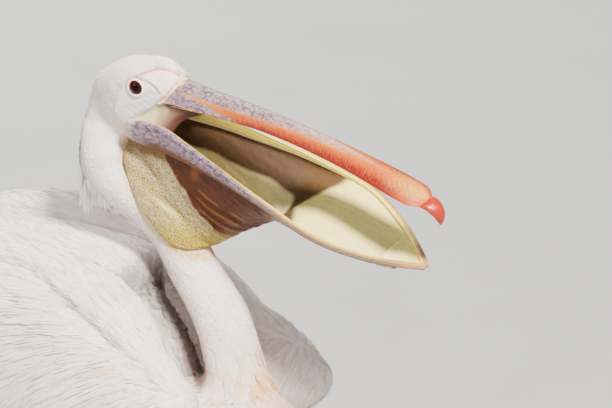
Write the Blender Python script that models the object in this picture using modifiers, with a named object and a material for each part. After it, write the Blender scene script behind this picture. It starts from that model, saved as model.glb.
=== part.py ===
"""Great white pelican, life size, afloat: it rests on its belly with the bill open.

The bird faces +X with its left side at +Y. The origin is on the floor under the belly.
Lengths are in metres. The head, bill and pouch are laid out in the head's own frame,
whose origin is on the line of the closed bill, below the feather point of the forehead.
"""
import math

import bmesh
import bpy
from mathutils import Matrix, Vector

GAP = 0.0003  # between neighbouring solids
HEAD_AT = (0.150, 0.0, 0.555)
HEAD_YAW = math.radians(-3.0)
HEAD_ROLL = math.radians(15.0)
HEAD = Matrix.Translation(HEAD_AT) @ Matrix.Rotation(HEAD_YAW, 4, "Z") @ Matrix.Rotation(HEAD_ROLL, 4, "X")

CULMEN = 0.370  # feather point to the front of the bill
BILL_DROOP = 0.072  # how far the bill's end lies below its base line
JAW_HINGE = (-0.068, -0.026)  # x and z
JAW_LENGTH = 0.421
GAPE = math.radians(18.9)
JAW_ARCH = 0.0136
TIP_SHARE = 0.93  # share of the jaw's length at which the joined tip starts
EYE_AT = (-0.058, 0.0225, 0.019)
EYE_RADIUS = 0.0118

# Sections of the head: back point x and z, front point x and z, half width, squareness, egg
FACE_SECTIONS = (
    (-0.004, 0.0285, -0.038, -0.006, 0.0262, 2.0, 0.25),
    (-0.017, 0.0425, -0.046, -0.022, 0.0280, 2.1, 0.18),
    (-0.036, 0.0480, -0.055, -0.038, 0.0305, 2.3, 0.10),
    (-0.062, 0.0455, -0.066, -0.052, 0.0335, 2.4, 0.08),
    (-0.095, 0.0370, -0.075, -0.061, 0.0355, 2.4, 0.05),
    (-0.130, 0.0185, -0.082, -0.067, 0.0350, 2.2, 0.00),
    (-0.154, -0.0140, -0.087, -0.073, 0.0340, 2.0, 0.00),
)
# Centre line of the neck: x, z, radius, heading in degrees below the horizon
NECK_LINE = (
    (0.0260, 0.468, 0.0330, 86),
    (0.0320, 0.440, 0.0325, 68),
    (0.0630, 0.421, 0.0310, 38),
    (0.1190, 0.389, 0.0300, 42),
    (0.1580, 0.334, 0.0305, 55),
    (0.1920, 0.287, 0.0350, 63),
    (0.2080, 0.245, 0.0370, 76),
    (0.2160, 0.212, 0.0400, 86),
)
# Sections of the breast and trunk, in the same order as the head's
BODY_SECTIONS = (
    (0.171, 0.204, 0.282, 0.160, 0.062, 2.1, 0.00),
    (0.166, 0.204, 0.296, 0.105, 0.088, 2.2, 0.00),
    (0.161, 0.214, 0.274, 0.045, 0.108, 2.3, 0.00),
    (0.152, 0.238, 0.215, 0.006, 0.120, 2.3, 0.04),
    (0.128, 0.284, 0.140, -0.008, 0.127, 2.3, 0.08),
    (0.078, 0.340, 0.075, -0.012, 0.131, 2.3, 0.10),
    (0.000, 0.350, 0.000, -0.012, 0.134, 2.3, 0.12),
    (-0.100, 0.348, -0.100, -0.010, 0.131, 2.3, 0.12),
    (-0.190, 0.334, -0.185, 0.010, 0.117, 2.2, 0.10),
    (-0.275, 0.296, -0.262, 0.055, 0.094, 2.1, 0.05),
    (-0.335, 0.260, -0.322, 0.110, 0.068, 2.0, 0.00),
    (-0.375, 0.232, -0.370, 0.155, 0.042, 2.0, 0.00),
)
RING = 24  # points round each section of flesh

# Folded wing: x, centre y and z, half height, half thickness, lean of its top inwards in degrees
WING_SECTIONS = (
    (0.257, 0.140, 0.172, 0.016, 0.011, 0),
    (0.244, 0.134, 0.176, 0.042, 0.029, 0),
    (0.205, 0.118, 0.177, 0.063, 0.050, 6),
    (0.163, 0.108, 0.186, 0.080, 0.058, 16),
    (0.110, 0.102, 0.211, 0.112, 0.060, 20),
    (0.030, 0.104, 0.223, 0.124, 0.060, 16),
    (-0.067, 0.104, 0.231, 0.128, 0.059, 12),
    (-0.127, 0.101, 0.234, 0.123, 0.057, 10),
    (-0.216, 0.088, 0.234, 0.102, 0.049, 8),
    (-0.300, 0.066, 0.236, 0.063, 0.043, 8),
    (-0.370, 0.047, 0.240, 0.034, 0.036, 8),
    (-0.430, 0.034, 0.232, 0.022, 0.028, 8),
    (-0.490, 0.022, 0.217, 0.009, 0.016, 8),
)
WING_SPLIT = -0.352  # the dark flight feathers show behind this

# Upper bill: distance along it, half width, height
BILL_SECTIONS = (
    (0.00, 0.0255, 0.0262),
    (0.03, 0.0235, 0.0208),
    (0.08, 0.0205, 0.0184),
    (0.14, 0.0185, 0.0168),
    (0.22, 0.0195, 0.0150),
    (0.28, 0.0222, 0.0126),
    (0.32, 0.0238, 0.0108),
    (0.340, 0.0218, 0.0094),
    (0.352, 0.0150, 0.0078),
)
# Side bone of the jaw: share of its length, half width of the jaw, rise, height, half thickness
JAW_SECTIONS = (
    (-0.012, 0.0345, 0.000, 0.0200, 0.0055),
    (0.00, 0.0352, 0.001, 0.0270, 0.0070),
    (0.05, 0.0362, 0.008, 0.0350, 0.0066),
    (0.12, 0.0378, 0.014, 0.0370, 0.0055),
    (0.20, 0.0413, 0.011, 0.0300, 0.0048),
    (0.30, 0.0455, 0.006, 0.0215, 0.0044),
    (0.50, 0.0556, 0.001, 0.0105, 0.0040),
    (0.70, 0.0600, 0.000, 0.0082, 0.0040),
    (0.85, 0.0400, 0.000, 0.0080, 0.0042),
    (0.95, 0.0160, 0.003, 0.0075, 0.0045),
    (1.00, 0.0000, 0.004, 0.0070, 0.0050),
)
# Bottom line of the pouch: share of the jaw above it, then x and z on the middle plane
POUCH_KEEL = (
    (0.03, 0.1860, 0.3760),
    (0.10, 0.1990, 0.3845),
    (0.20, 0.2190, 0.3950),
    (0.30, 0.2420, 0.4080),
    (0.40, 0.2680, 0.4220),
    (0.50, 0.3000, 0.4380),
    (0.60, 0.3350, 0.4430),
    (0.70, 0.3720, 0.4290),
    (0.80, 0.4090, 0.4150),
    (0.90, 0.4450, 0.3990),
)
# Its root: step, section of the flesh, degrees from the middle of the throat
POUCH_ROOT = (
    (0, 4.6, 50),
    (1, 6.0, 36),
    (2, 8.0, 26),
    (3, 9.0, 50),
    (4, 9.6, 82),
    (5, 10.1, 86),
    (6, 10.6, 56),
    (7, 10.8, 0),
)
POUCH_SKIN = 0.0024
NECK_CLEARANCE = 0.0052  # from the neck to the middle of the pouch's skin
FOOT_AT = (-0.105, 0.118)
TOES = ((30, 0.110), (8, 0.130), (-14, 0.114), (-66, 0.047))  # heading in degrees, length
WEB = 0.0045

SIDES = ((1, "left"), (-1, "right"))
MODEL = "pelican"
COLOURS = {
    "plumage": (0.86, 0.80, 0.76, 0.85),
    "flight": (0.05, 0.05, 0.06, 0.6),
    "culmen": (0.62, 0.45, 0.38, 0.4),
    "nail": (0.80, 0.16, 0.05, 0.3),
    "jaw": (0.55, 0.48, 0.50, 0.4),
    "pouch": (0.80, 0.62, 0.30, 0.5),
    "iris": (0.03, 0.01, 0.01, 0.1),
    "leg": (0.75, 0.48, 0.38, 0.5),
}


def clear_scene():
    for thing in list(bpy.data.objects):
        bpy.data.objects.remove(thing)


def new_collection(name):
    group = bpy.data.collections.new(name)
    bpy.context.scene.collection.children.link(group)
    return group


def material(name, kind):
    red, green, blue, rough = COLOURS[kind]
    made = bpy.data.materials.new(name)
    made.use_nodes = True
    shader = made.node_tree.nodes["Principled BSDF"]
    shader.inputs["Base Color"].default_value = (red, green, blue, 1.0)
    shader.inputs["Roughness"].default_value = rough
    made.diffuse_color = (red, green, blue, 1.0)
    return made


def smooth(rows, at):
    """The row's values at a place between rows: a cubic through every row."""
    last = len(rows) - 1
    rising = rows[last][0] > rows[0][0]
    low = 0
    while low < last - 1 and ((at > rows[low + 1][0]) if rising else (at < rows[low + 1][0])):
        low += 1
    left = rows[low]
    right = rows[low + 1]
    before = rows[max(low - 1, 0)]
    after = rows[min(low + 2, last)]
    span = right[0] - left[0]
    t = (at - left[0]) / span
    values = []
    for i in range(1, len(left)):
        slope_in = (right[i] - before[i]) / (right[0] - before[0]) * span
        slope_out = (after[i] - left[i]) / (after[0] - left[0]) * span
        values.append(
            left[i] * (2 * t**3 - 3 * t**2 + 1)
            + slope_in * (t**3 - 2 * t**2 + t)
            + right[i] * (3 * t**2 - 2 * t**3)
            + slope_out * (t**3 - t**2)
        )
    return values


def power(value, exponent):
    return math.copysign(abs(value) ** exponent, value)


def spread(first, last, count):
    return [first + (last - first) * i / count for i in range(count + 1)]


def mesh_object(name, group, verts, faces, kind):
    mesh = bpy.data.meshes.new(name)
    mesh.from_pydata([tuple(v) for v in verts], [], faces)
    bm = bmesh.new()
    bm.from_mesh(mesh)
    bmesh.ops.recalc_face_normals(bm, faces=bm.faces)
    bm.to_mesh(mesh)
    bm.free()
    mesh.shade_smooth()
    mesh.materials.append(material(name, kind))
    made = bpy.data.objects.new(name, mesh)
    group.objects.link(made)
    return made


def loft(name, group, rings, kind):
    """A closed solid through rings of equally many points."""
    count = len(rings[0])
    verts = [point for ring in rings for point in ring]
    faces = []
    for row in range(len(rings) - 1):
        for i in range(count):
            j = (i + 1) % count
            base = row * count
            faces.append((base + i, base + j, base + count + j))
            faces.append((base + i, base + count + j, base + count + i))
    faces.append(tuple(range(count)))
    faces.append(tuple(range((len(rings) - 1) * count, len(rings) * count)))
    return mesh_object(name, group, verts, faces, kind)


def cut(target, cutter):
    """Takes the cutter out of the target."""
    modifier = target.modifiers.new("cut_" + cutter.name, "BOOLEAN")
    modifier.operation = "DIFFERENCE"
    modifier.solver = "EXACT"
    modifier.object = cutter
    cutter.hide_render = True
    cutter.display_type = "WIRE"


# ---------------------------------------------------------------- flesh


def head_row(row):
    back_x, back_z, front_x, front_z, half, square, egg = row
    back = HEAD @ Vector((back_x, 0, back_z))
    front = HEAD @ Vector((front_x, 0, front_z))
    side = HEAD.to_3x3() @ Vector((0, half, 0))
    return back, front, side, square, egg


def neck_row(row):
    x, z, radius, heading = row
    angle = -math.radians(heading) - math.pi / 2
    reach = Vector((math.cos(angle), 0, math.sin(angle))) * radius
    middle = Vector((x, 0, z))
    return middle + reach, middle - reach, Vector((0, radius, 0)), 2.0, 0.0


def body_row(row):
    back_x, back_z, front_x, front_z, half, square, egg = row
    return Vector((back_x, 0, back_z)), Vector((front_x, 0, front_z)), Vector((0, half, 0)), square, egg


def flesh_rows():
    """Every section from the face to the rump, numbered along the body."""
    rows = [head_row(row) for row in FACE_SECTIONS]
    rows += [neck_row(row) for row in NECK_LINE]
    rows += [body_row(row) for row in BODY_SECTIONS]
    return [(i, *row) for i, row in enumerate(rows)]


FLESH = flesh_rows()
NECK_FROM = len(FACE_SECTIONS) - 0.6
NECK_BEND = NECK_FROM + 3.0
NECK_DROP = NECK_BEND + 2.5
NECK_TO = len(FACE_SECTIONS) + len(NECK_LINE) - 1
BREAST_TO = NECK_TO + 5
RUMP = len(FLESH) - 1
LENGTHS = {
    "head": (0, NECK_FROM, 15),
    "neck_upper": (NECK_FROM, NECK_BEND, 9),
    "neck_middle": (NECK_BEND, NECK_DROP, 8),
    "neck_lower": (NECK_DROP, NECK_TO, 7),
    "breast": (NECK_TO, BREAST_TO, 12),
    "trunk": (BREAST_TO, RUMP, 14),
}


def flesh_point(at, angle, grow=0.0):
    """A point on the body: angle 0 is the back or nape, pi is the belly or throat."""
    back, front, side, square, egg = smooth(FLESH, at)
    half = (back - front) / 2
    half += half.normalized() * grow
    side = side + side.normalized() * grow
    up = power(math.cos(angle), 2 / square)
    out = power(math.sin(angle), 2 / square) * (1 - egg * up)
    point = (back + front) / 2 + half * up + side * out
    point.z = max(point.z, 0.0)
    return point


def flesh_ring(at):
    return [flesh_point(at, math.tau * i / RING) for i in range(RING)]


def centre(ring):
    return sum(ring, Vector()) / len(ring)


def flesh(name, group):
    """A length of the body, trimmed by half the gap at each end."""
    rings = [flesh_ring(at) for at in spread(*LENGTHS[name])]
    for end, inner in ((0, 1), (-1, -2)):
        along = (centre(rings[inner]) - centre(rings[end])).normalized() * GAP / 2
        level = Vector((along.x, along.y, 0))
        rings[end] = [point + (along if point.z > 0 else level) for point in rings[end]]
    return loft(name, group, rings, "plumage")


def body_cutter(group):
    """All the flesh in one piece, larger by the gap, on the same sections."""
    places = [at for name in LENGTHS for at in spread(*LENGTHS[name])[:-1]] + [RUMP]
    made = loft("body_cutter", group, [flesh_ring(at) for at in places], "plumage")
    swell = made.modifiers.new("swell", "DISPLACE")
    swell.mid_level = 0.0
    swell.strength = 2.5 * GAP
    return made


# ---------------------------------------------------------------- bill and jaw


def bill_bend(x):
    return -BILL_DROOP * (x / CULMEN) ** 2


def bill_ring(x, half, height, slant):
    """Roof-shaped section with a shallow vault below; slant sets the tomium back."""
    ring = []
    for i in range(11):
        angle = math.pi * i / 10
        up = 0.07 + 0.93 * math.sin(angle) ** 2
        ring.append(Vector((x - slant * (1 - up), half * math.cos(angle), bill_bend(x) + height * up)))
    for i in range(1, 6):
        across = -0.88 + 1.76 * i / 6
        up = 0.18 * (1 - across**2)
        ring.append(Vector((x - slant * (1 - up), half * across, bill_bend(x) + height * up)))
    return [HEAD @ point for point in ring]


def upper_bill(group):
    back_x, back_z, front_x, front_z = FACE_SECTIONS[0][:4]
    lean = (back_x - front_x) / (back_z - front_z)  # of the face's front plane
    half, height = smooth(BILL_SECTIONS, 0)
    rings = [bill_ring(back_x + 2 * GAP - lean * (back_z - height), half, height, lean * height)]
    for x in spread(0.018, BILL_SECTIONS[-1][0], 14):
        half, height = smooth(BILL_SECTIONS, x)
        rings.append(bill_ring(x, half, height, lean * height * max(0.0, 1 - x / 0.08)))
    return loft("upper_bill", group, rings, "culmen")


def nail(group):
    """The hook: a bent, tapering round piece on the end of the bill."""
    line = (
        (0, 0.3523, 0.0065, 0.0135, 0.0032, 0),
        (1, 0.3600, 0.0045, 0.0120, 0.0045, 25),
        (2, 0.3665, -0.0030, 0.0090, 0.0046, 62),
        (3, 0.3685, -0.0110, 0.0062, 0.0034, 88),
        (4, 0.3675, -0.0190, 0.0022, 0.0016, 100),
    )
    rings = []
    for at in spread(0, 4, 8):
        x, z, half, thick, heading = smooth(line, at)
        lean = math.radians(heading)
        ring = []
        for i in range(12):
            angle = math.tau * i / 12
            up = thick * math.sin(angle)
            height = z + bill_bend(CULMEN) + up * math.cos(lean)
            ring.append(HEAD @ Vector((x + up * math.sin(lean), half * math.cos(angle), height)))
        rings.append(ring)
    return loft("bill_nail", group, rings, "nail")


def jaw_edge(share, side):
    """Upper edge of the jaw's side bone, in the head's frame."""
    half, rise = smooth(JAW_SECTIONS, share)[:2]
    arch = rise + JAW_ARCH * math.sin(math.pi * min(max(share, 0.0), 1.0))
    x = JAW_HINGE[0] + share * JAW_LENGTH * math.cos(GAPE) + arch * math.sin(GAPE)
    z = JAW_HINGE[1] - share * JAW_LENGTH * math.sin(GAPE) + arch * math.cos(GAPE)
    return Vector((x, side * half, z))


JAW_DOWN = Vector((-math.sin(GAPE), 0, -math.cos(GAPE)))


def jaw_ring(share, side, grow=0.0):
    """Rounded section of the side bone, square to its run."""
    step = 0.004
    run = jaw_edge(min(share + step, 1.0), side) - jaw_edge(min(share + step, 1.0) - 2 * step, side)
    if share >= 1.0:
        run = Vector((0, -side, 0))
    across = run.cross(JAW_DOWN).normalized()
    height, thick = smooth(JAW_SECTIONS, share)[2:]
    middle = jaw_edge(share, side) + JAW_DOWN * height / 2
    ring = []
    for i in range(12):
        angle = math.tau * i / 12
        out = power(math.cos(angle), 0.75) * (thick + grow)
        up = power(math.sin(angle), 0.75) * (height / 2 + grow)
        ring.append(HEAD @ (middle + across * out - JAW_DOWN * up))
    return ring


def jaw_side(name, group, side, grow=0.0):
    end = TIP_SHARE - GAP / JAW_LENGTH
    rings = [jaw_ring(share, side, grow) for share in spread(JAW_SECTIONS[0][0], end, 15)]
    return loft(name, group, rings, "jaw")


def jaw_tip(group):
    """The joined tip: the run of both side bones, round the front."""
    right = [jaw_ring(share, -1) for share in spread(TIP_SHARE, 0.995, 5)]
    left = [jaw_ring(share, 1) for share in spread(0.995, TIP_SHARE, 5)]
    flip = [[ring[(6 - i) % 12] for i in range(12)] for ring in left]
    return loft("lower_bill_tip", group, right + flip, "jaw")


# ---------------------------------------------------------------- pouch


def pouch_root(turn):
    """Where the pouch meets the throat and neck: from the right cheek, round the front, to the left."""
    at, wide = smooth(POUCH_ROOT, (1 - abs(turn)) * POUCH_ROOT[-1][0])
    return flesh_point(at, math.pi + math.copysign(math.radians(wide), -turn), NECK_CLEARANCE)


def clear_of_neck(point):
    """The point, moved out of the neck's round length if it lies inside it."""
    nearest = None
    for at in spread(len(FACE_SECTIONS) - 1, len(FACE_SECTIONS) + 5, 72):
        back, front, side, _, _ = smooth(FLESH, at)
        middle = (back + front) / 2
        depth = side.length + NECK_CLEARANCE - (point - middle).length
        if nearest is None or depth > nearest[0]:
            nearest = (depth, middle, side.length)
    depth, middle, radius = nearest
    if depth < 0:
        return point
    return middle + (point - middle).normalized() * (radius + NECK_CLEARANCE)


def pouch_section(share, turn):
    """The pouch hangs between the lower edges of the side bones."""
    height = smooth(JAW_SECTIONS, share)[2]
    below = JAW_DOWN * (height + 0.5 * POUCH_SKIN + GAP)
    right = HEAD @ (jaw_edge(share, -1) + below)
    left = HEAD @ (jaw_edge(share, 1) + below)
    x, z = smooth(POUCH_KEEL, share)
    middle = (right + left) / 2
    keel = Vector((x, middle.y, z))
    angle = math.pi / 2 * turn
    round_off = 0.55 + 0.35 * min(1.0, share / 0.4)
    out = (left - right) / 2 * power(math.sin(angle), round_off)
    return middle + out + (keel - middle) * max(0.0, math.cos(angle)) ** round_off


def pouch(group):
    turns = [math.copysign(1 - (1 - abs(t)) ** 1.15, t) for t in spread(-1, 1, 16)]
    rows = [[pouch_root(turn) for turn in turns]]
    first = [pouch_section(0.03, turn) for turn in turns]
    for part in (0.25, 0.5, 0.75):
        rows.append([clear_of_neck(a.lerp(b, part)) for a, b in zip(rows[0], first)])
    for share in spread(0.03, TIP_SHARE - 0.01, 10):
        rows.append([clear_of_neck(pouch_section(share, turn)) for turn in turns])
    verts = [point for row in rows for point in row]
    wide = len(turns)
    faces = []
    for row in range(len(rows) - 1):
        for i in range(wide - 1):
            base = row * wide + i
            faces.append((base, base + 1, base + wide + 1, base + wide))
    made = mesh_object("pouch", group, verts, faces, "pouch")
    shell = made.modifiers.new("skin", "SOLIDIFY")
    shell.thickness = POUCH_SKIN
    shell.offset = 0.0
    return made


# ---------------------------------------------------------------- wings, tail, crest


def wing_ring(x, side):
    y, z, tall, thick, lean = smooth(WING_SECTIONS, x)
    tilt = math.radians(lean)
    ring = []
    for i in range(16):
        angle = math.tau * i / 16
        up = power(math.cos(angle), 0.95) * tall
        out = power(math.sin(angle), 0.95) * thick
        across = y + out * math.cos(tilt) - up * math.sin(tilt)
        ring.append(Vector((x, side * across, z + up * math.cos(tilt) + out * math.sin(tilt))))
    return ring


def wing(name, group, side, body):
    rings = [wing_ring(x, side) for x in spread(WING_SECTIONS[0][0], WING_SPLIT + GAP, 14)]
    made = loft(name, group, rings, "plumage")
    cut(made, body)
    return made


def flight_feathers(name, group, side, body):
    rings = [wing_ring(x, side) for x in spread(WING_SPLIT, WING_SECTIONS[-1][0], 6)]
    made = loft(name, group, rings, "flight")
    cut(made, body)
    return made


def tail(group):
    """A flat fan with a rounded end, on the rump."""
    sections = (
        (-0.3755, 0.184, 0.0400, 0.0240),
        (-0.400, 0.178, 0.0480, 0.0170),
        (-0.440, 0.171, 0.0640, 0.0110),
        (-0.480, 0.163, 0.0740, 0.0070),
        (-0.505, 0.158, 0.0660, 0.0045),
        (-0.520, 0.154, 0.0400, 0.0030),
    )
    rings = []
    for x in spread(sections[0][0], sections[-1][0], 8):
        z, half, thick = smooth(sections, x)
        ring = []
        for i in range(14):
            angle = math.tau * i / 14
            arch = -0.18 * half * math.cos(angle) ** 2
            ring.append(Vector((x, half * math.cos(angle), z + arch + thick * math.sin(angle))))
        rings.append(ring)
    return loft("tail", group, rings, "plumage")


def crest(group, body):
    """The shaggy plumes that hang from the nape."""
    sections = (
        (0.478, -0.0035, 0.0050, 0.0030),
        (0.458, -0.0010, 0.0170, 0.0060),
        (0.432, 0.0010, 0.0190, 0.0070),
        (0.406, -0.0010, 0.0130, 0.0055),
        (0.378, -0.0045, 0.0030, 0.0010),
    )
    rings = []
    for z in spread(sections[0][0], sections[-1][0], 9):
        x, half, thick = smooth(sections, z)
        ring = []
        for i in range(10):
            angle = math.tau * i / 10
            ring.append(Vector((x + thick * math.sin(angle), half * math.cos(angle), z)))
        rings.append(ring)
    made = loft("crest", group, rings, "plumage")
    cut(made, body)
    return made


# ---------------------------------------------------------------- eyes, legs


def eye_place(side):
    return HEAD @ Vector((EYE_AT[0], side * EYE_AT[1], EYE_AT[2]))


def ball(name, group, place, radius, kind):
    bm = bmesh.new()
    bmesh.ops.create_uvsphere(bm, u_segments=12, v_segments=8, radius=radius)
    mesh = bpy.data.meshes.new(name)
    bm.to_mesh(mesh)
    bm.free()
    mesh.shade_smooth()
    mesh.materials.append(material(name, kind))
    made = bpy.data.objects.new(name, mesh)
    made.location = place
    group.objects.link(made)
    return made


def foot(name, group, side):
    """Four toes joined by webs: a low fan of ridges on a flat sole."""
    outer = TOES[0][0]
    inner = TOES[-1][0]
    turns = spread(outer, inner, 18)
    reaches = spread(0.0, 1.0, 4)
    origin = Vector((FOOT_AT[0], side * FOOT_AT[1], 0))
    top = []
    sole = []
    for turn in turns:
        nearest = min(abs(turn - heading) for heading, _ in TOES)
        length = smooth([(-heading, toe) for heading, toe in TOES], -turn)[0]
        length *= 1 - 0.16 * min(nearest / 11, 1.0)
        heading = Vector((math.cos(math.radians(turn)), side * math.sin(math.radians(turn)), 0))
        for reach in reaches:
            away = 0.010 + (length - 0.010) * reach
            ridge = 0.0065 * math.exp(-((nearest * math.pi / 180 * away / 0.006) ** 2)) * (1 - 0.5 * reach)
            top.append(origin + heading * away + Vector((0, 0, WEB + ridge)))
            sole.append(origin + heading * away)
    wide = len(reaches)
    half = len(top)
    faces = []
    for i in range(len(turns) - 1):
        for j in range(wide - 1):
            base = i * wide + j
            faces.append((base, base + 1, base + wide + 1, base + wide))
            faces.append((half + base, half + base + wide, half + base + wide + 1, half + base + 1))
    rim = [i * wide for i in range(len(turns))]
    rim += [(len(turns) - 1) * wide + j for j in range(1, wide)]
    rim += [i * wide + wide - 1 for i in range(len(turns) - 2, -1, -1)]
    rim += [j for j in range(wide - 2, 0, -1)]
    for a, b in zip(rim, rim[1:] + rim[:1]):
        faces.append((a, b, half + b, half + a))
    return mesh_object(name, group, top + sole, faces, "leg")


def limb(name, group, side, rows, kind):
    """A tapering limb: rows hold x, y, z, half width and half height."""
    rings = []
    for at in spread(0, len(rows) - 1, 2 * (len(rows) - 1)):
        x, y, z, wide, tall = smooth([(i, *row) for i, row in enumerate(rows)], at)
        ring = []
        for i in range(10):
            angle = math.tau * i / 10
            ring.append(Vector((x, side * (y + wide * math.cos(angle)), z + tall * math.sin(angle))))
        rings.append(ring)
    return loft(name, group, rings, kind)


def leg(group, side, name, body):
    thigh_rows = (
        (-0.130, 0.080, 0.080, 0.020, 0.030),
        (-0.170, 0.098, 0.066, 0.028, 0.032),
        (-0.210, 0.107, 0.054, 0.021, 0.022),
        (-0.240, 0.112, 0.0405, 0.012, 0.011),
    )
    cut(limb("thigh_" + name, group, side, thigh_rows, "plumage"), body)
    ankle = (-0.252, 0.113, 0.0165, 0.0085, 0.0115)
    heel = (-0.240, 0.113, 0.0150, 0.0105, 0.0130)
    middle = (-0.180, 0.115, 0.0125, 0.0075, 0.0085)
    root = (-0.120, 0.1175, 0.0105, 0.0090, 0.0070)
    end = (FOOT_AT[0] + 0.003, 0.118, 0.0085, 0.0080, 0.0050)
    limb("shank_" + name, group, side, (ankle, heel, middle, root, end), "leg")
    foot("foot_" + name, group, side)


def main():
    clear_scene()
    model = new_collection(MODEL)
    guides = new_collection("cutters")

    lengths = {name: flesh(name, model) for name in LENGTHS}
    head = lengths["head"]
    body = body_cutter(guides)
    for side, name in SIDES:
        cut(head, jaw_side("jaw_cutter_" + name, guides, side, GAP))
    upper_bill(model)
    nail(model)
    jaw_tip(model)
    pouch(model)
    tail(model)
    crest(model, body)
    for side, name in SIDES:
        jaw_side("jaw_" + name, model, side)
        ball("eye_" + name, model, eye_place(side), EYE_RADIUS, "iris")
        cut(head, ball("socket_" + name, guides, eye_place(side), EYE_RADIUS + GAP, "iris"))
        wing("wing_" + name, model, side, body)
        flight_feathers("flight_feathers_" + name, model, side, body)
        leg(model, side, name, body)


main()
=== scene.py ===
"""Looks of the great white pelican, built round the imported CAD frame.

One skin stands for the flesh, and every feather is mesh: tufts of tapering strands that grow
from the skin along the lie of the plumage. Bill, pouch, eyes and feet are modelled finely on
the same sizes as their solids. Lengths are in metres, +X is forwards, +Y is the bird's left.
"""

import math

import bmesh
import bpy
import numpy as np
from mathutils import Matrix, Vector
from mathutils.bvhtree import BVHTree


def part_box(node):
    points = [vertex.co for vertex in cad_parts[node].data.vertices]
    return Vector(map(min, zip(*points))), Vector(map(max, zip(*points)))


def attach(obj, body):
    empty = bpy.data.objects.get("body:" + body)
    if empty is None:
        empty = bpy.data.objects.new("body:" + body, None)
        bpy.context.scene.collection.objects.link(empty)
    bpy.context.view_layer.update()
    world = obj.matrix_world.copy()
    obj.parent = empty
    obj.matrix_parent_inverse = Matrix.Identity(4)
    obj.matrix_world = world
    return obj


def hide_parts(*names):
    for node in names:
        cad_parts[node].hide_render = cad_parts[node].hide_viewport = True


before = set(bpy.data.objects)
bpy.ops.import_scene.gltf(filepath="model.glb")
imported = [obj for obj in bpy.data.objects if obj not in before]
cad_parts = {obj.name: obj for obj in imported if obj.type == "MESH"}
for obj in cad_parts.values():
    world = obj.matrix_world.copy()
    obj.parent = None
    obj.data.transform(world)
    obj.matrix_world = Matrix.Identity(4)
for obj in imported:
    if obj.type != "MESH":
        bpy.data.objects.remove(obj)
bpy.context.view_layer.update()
RNG = np.random.default_rng(11)
SIDES = (("left", 1), ("right", -1))

# The head's own frame, as in the solids
HEAD_YAW = math.radians(-3.0)
EYE_AT = (-0.058, 0.0225, 0.019)
EYE_RADIUS = 0.0118
CULMEN = 0.370
BILL_DROOP = 0.072
JAW_HINGE = (-0.068, -0.026)
JAW_LENGTH = 0.421
GAPE = math.radians(18.9)
JAW_ARCH = 0.0136
ROOT_SLANT = 0.9855  # how far the bill's root runs back for each metre down
# Upper bill: distance along it, half width, height
BILL_SECTIONS = (
    (0.00, 0.0255, 0.0262),
    (0.03, 0.0235, 0.0208),
    (0.08, 0.0205, 0.0184),
    (0.14, 0.0185, 0.0168),
    (0.22, 0.0195, 0.0150),
    (0.28, 0.0222, 0.0126),
    (0.32, 0.0238, 0.0108),
    (0.340, 0.0218, 0.0094),
    (0.352, 0.0150, 0.0078),
)
# Lower jaw: share of its length, half width of the jaw, rise, height, half thickness
JAW_SECTIONS = (
    (-0.012, 0.0345, 0.000, 0.0200, 0.0055),
    (0.00, 0.0352, 0.001, 0.0270, 0.0070),
    (0.05, 0.0362, 0.008, 0.0350, 0.0066),
    (0.12, 0.0378, 0.014, 0.0370, 0.0055),
    (0.20, 0.0413, 0.011, 0.0300, 0.0048),
    (0.30, 0.0455, 0.006, 0.0215, 0.0044),
    (0.50, 0.0556, 0.001, 0.0105, 0.0040),
    (0.70, 0.0600, 0.000, 0.0082, 0.0040),
    (0.85, 0.0400, 0.000, 0.0080, 0.0042),
    (0.95, 0.0160, 0.003, 0.0075, 0.0045),
    (1.00, 0.0000, 0.004, 0.0070, 0.0050),
)


def srgb(red, green, blue):
    """A display colour, 0 to 255, as the linear values that shaders take."""
    shares = (c / 255 for c in (red, green, blue))
    return tuple(((c + 0.055) / 1.055) ** 2.4 if c > 10 / 255 else c / 12.92 for c in shares)


WHITE = srgb(252, 243, 238)
PEACH = srgb(248, 216, 198)
OCHRE_STAIN = srgb(238, 180, 100)
PEACH_STREAK = srgb(246, 200, 168)
FACE = srgb(252, 228, 222)
FACE_LOW = srgb(240, 241, 243)
# Painted shade for the hollow in front of the eye
LORE_HOLLOW_SHADE = srgb(226, 206, 206)
SALMON = srgb(200, 84, 36)
PUPIL = srgb(3, 2, 2)
IRIS = srgb(34, 10, 5)
IRIS_RIM = srgb(74, 24, 10)
LID_RED = srgb(176, 58, 22)
LID_PALE = srgb(252, 244, 244)
SKIN_YELLOW = srgb(226, 176, 70)
GAPE_CREAM = srgb(224, 216, 160)
GAPE_PALE = srgb(236, 228, 214)
GAPE_YELLOW = srgb(214, 204, 140)
GAPE_TAN = srgb(196, 164, 128)
# Painted shadow, reddened as by light through the skin: on the pouch's front and on the mouth's corners
PAINTED_SHADOW_RED = srgb(62, 20, 5)
HOLLOW_SHADE = srgb(44, 32, 27)
# Painted shadow of the upper bill on the pouch's inner wall, and painted light on its inner rear
BILL_SHADOW_RED = srgb(62, 10, 14)
PAINTED_LIGHT_CREAM = srgb(252, 248, 216)
# Painted shade in the valleys of the pouch's folds, and painted light on their crests
FOLD_VALLEY_SHADE = srgb(70, 24, 8)
FOLD_LIT = srgb(168, 104, 44)
# Painted shade inside the mouth: on the face between the jaws, on the palate and on the inner side of the
# mouth's corners
MOUTH_SHADE_BROWN = srgb(70, 24, 10)
LAVENDER = srgb(138, 116, 130)
CULMEN_GREY = srgb(146, 130, 130)
CULMEN_TAN = srgb(182, 158, 146)
BILL_YELLOW = srgb(206, 128, 0)
BILL_ORANGE = srgb(176, 66, 0)
BILL_RED = srgb(112, 12, 0)
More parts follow.
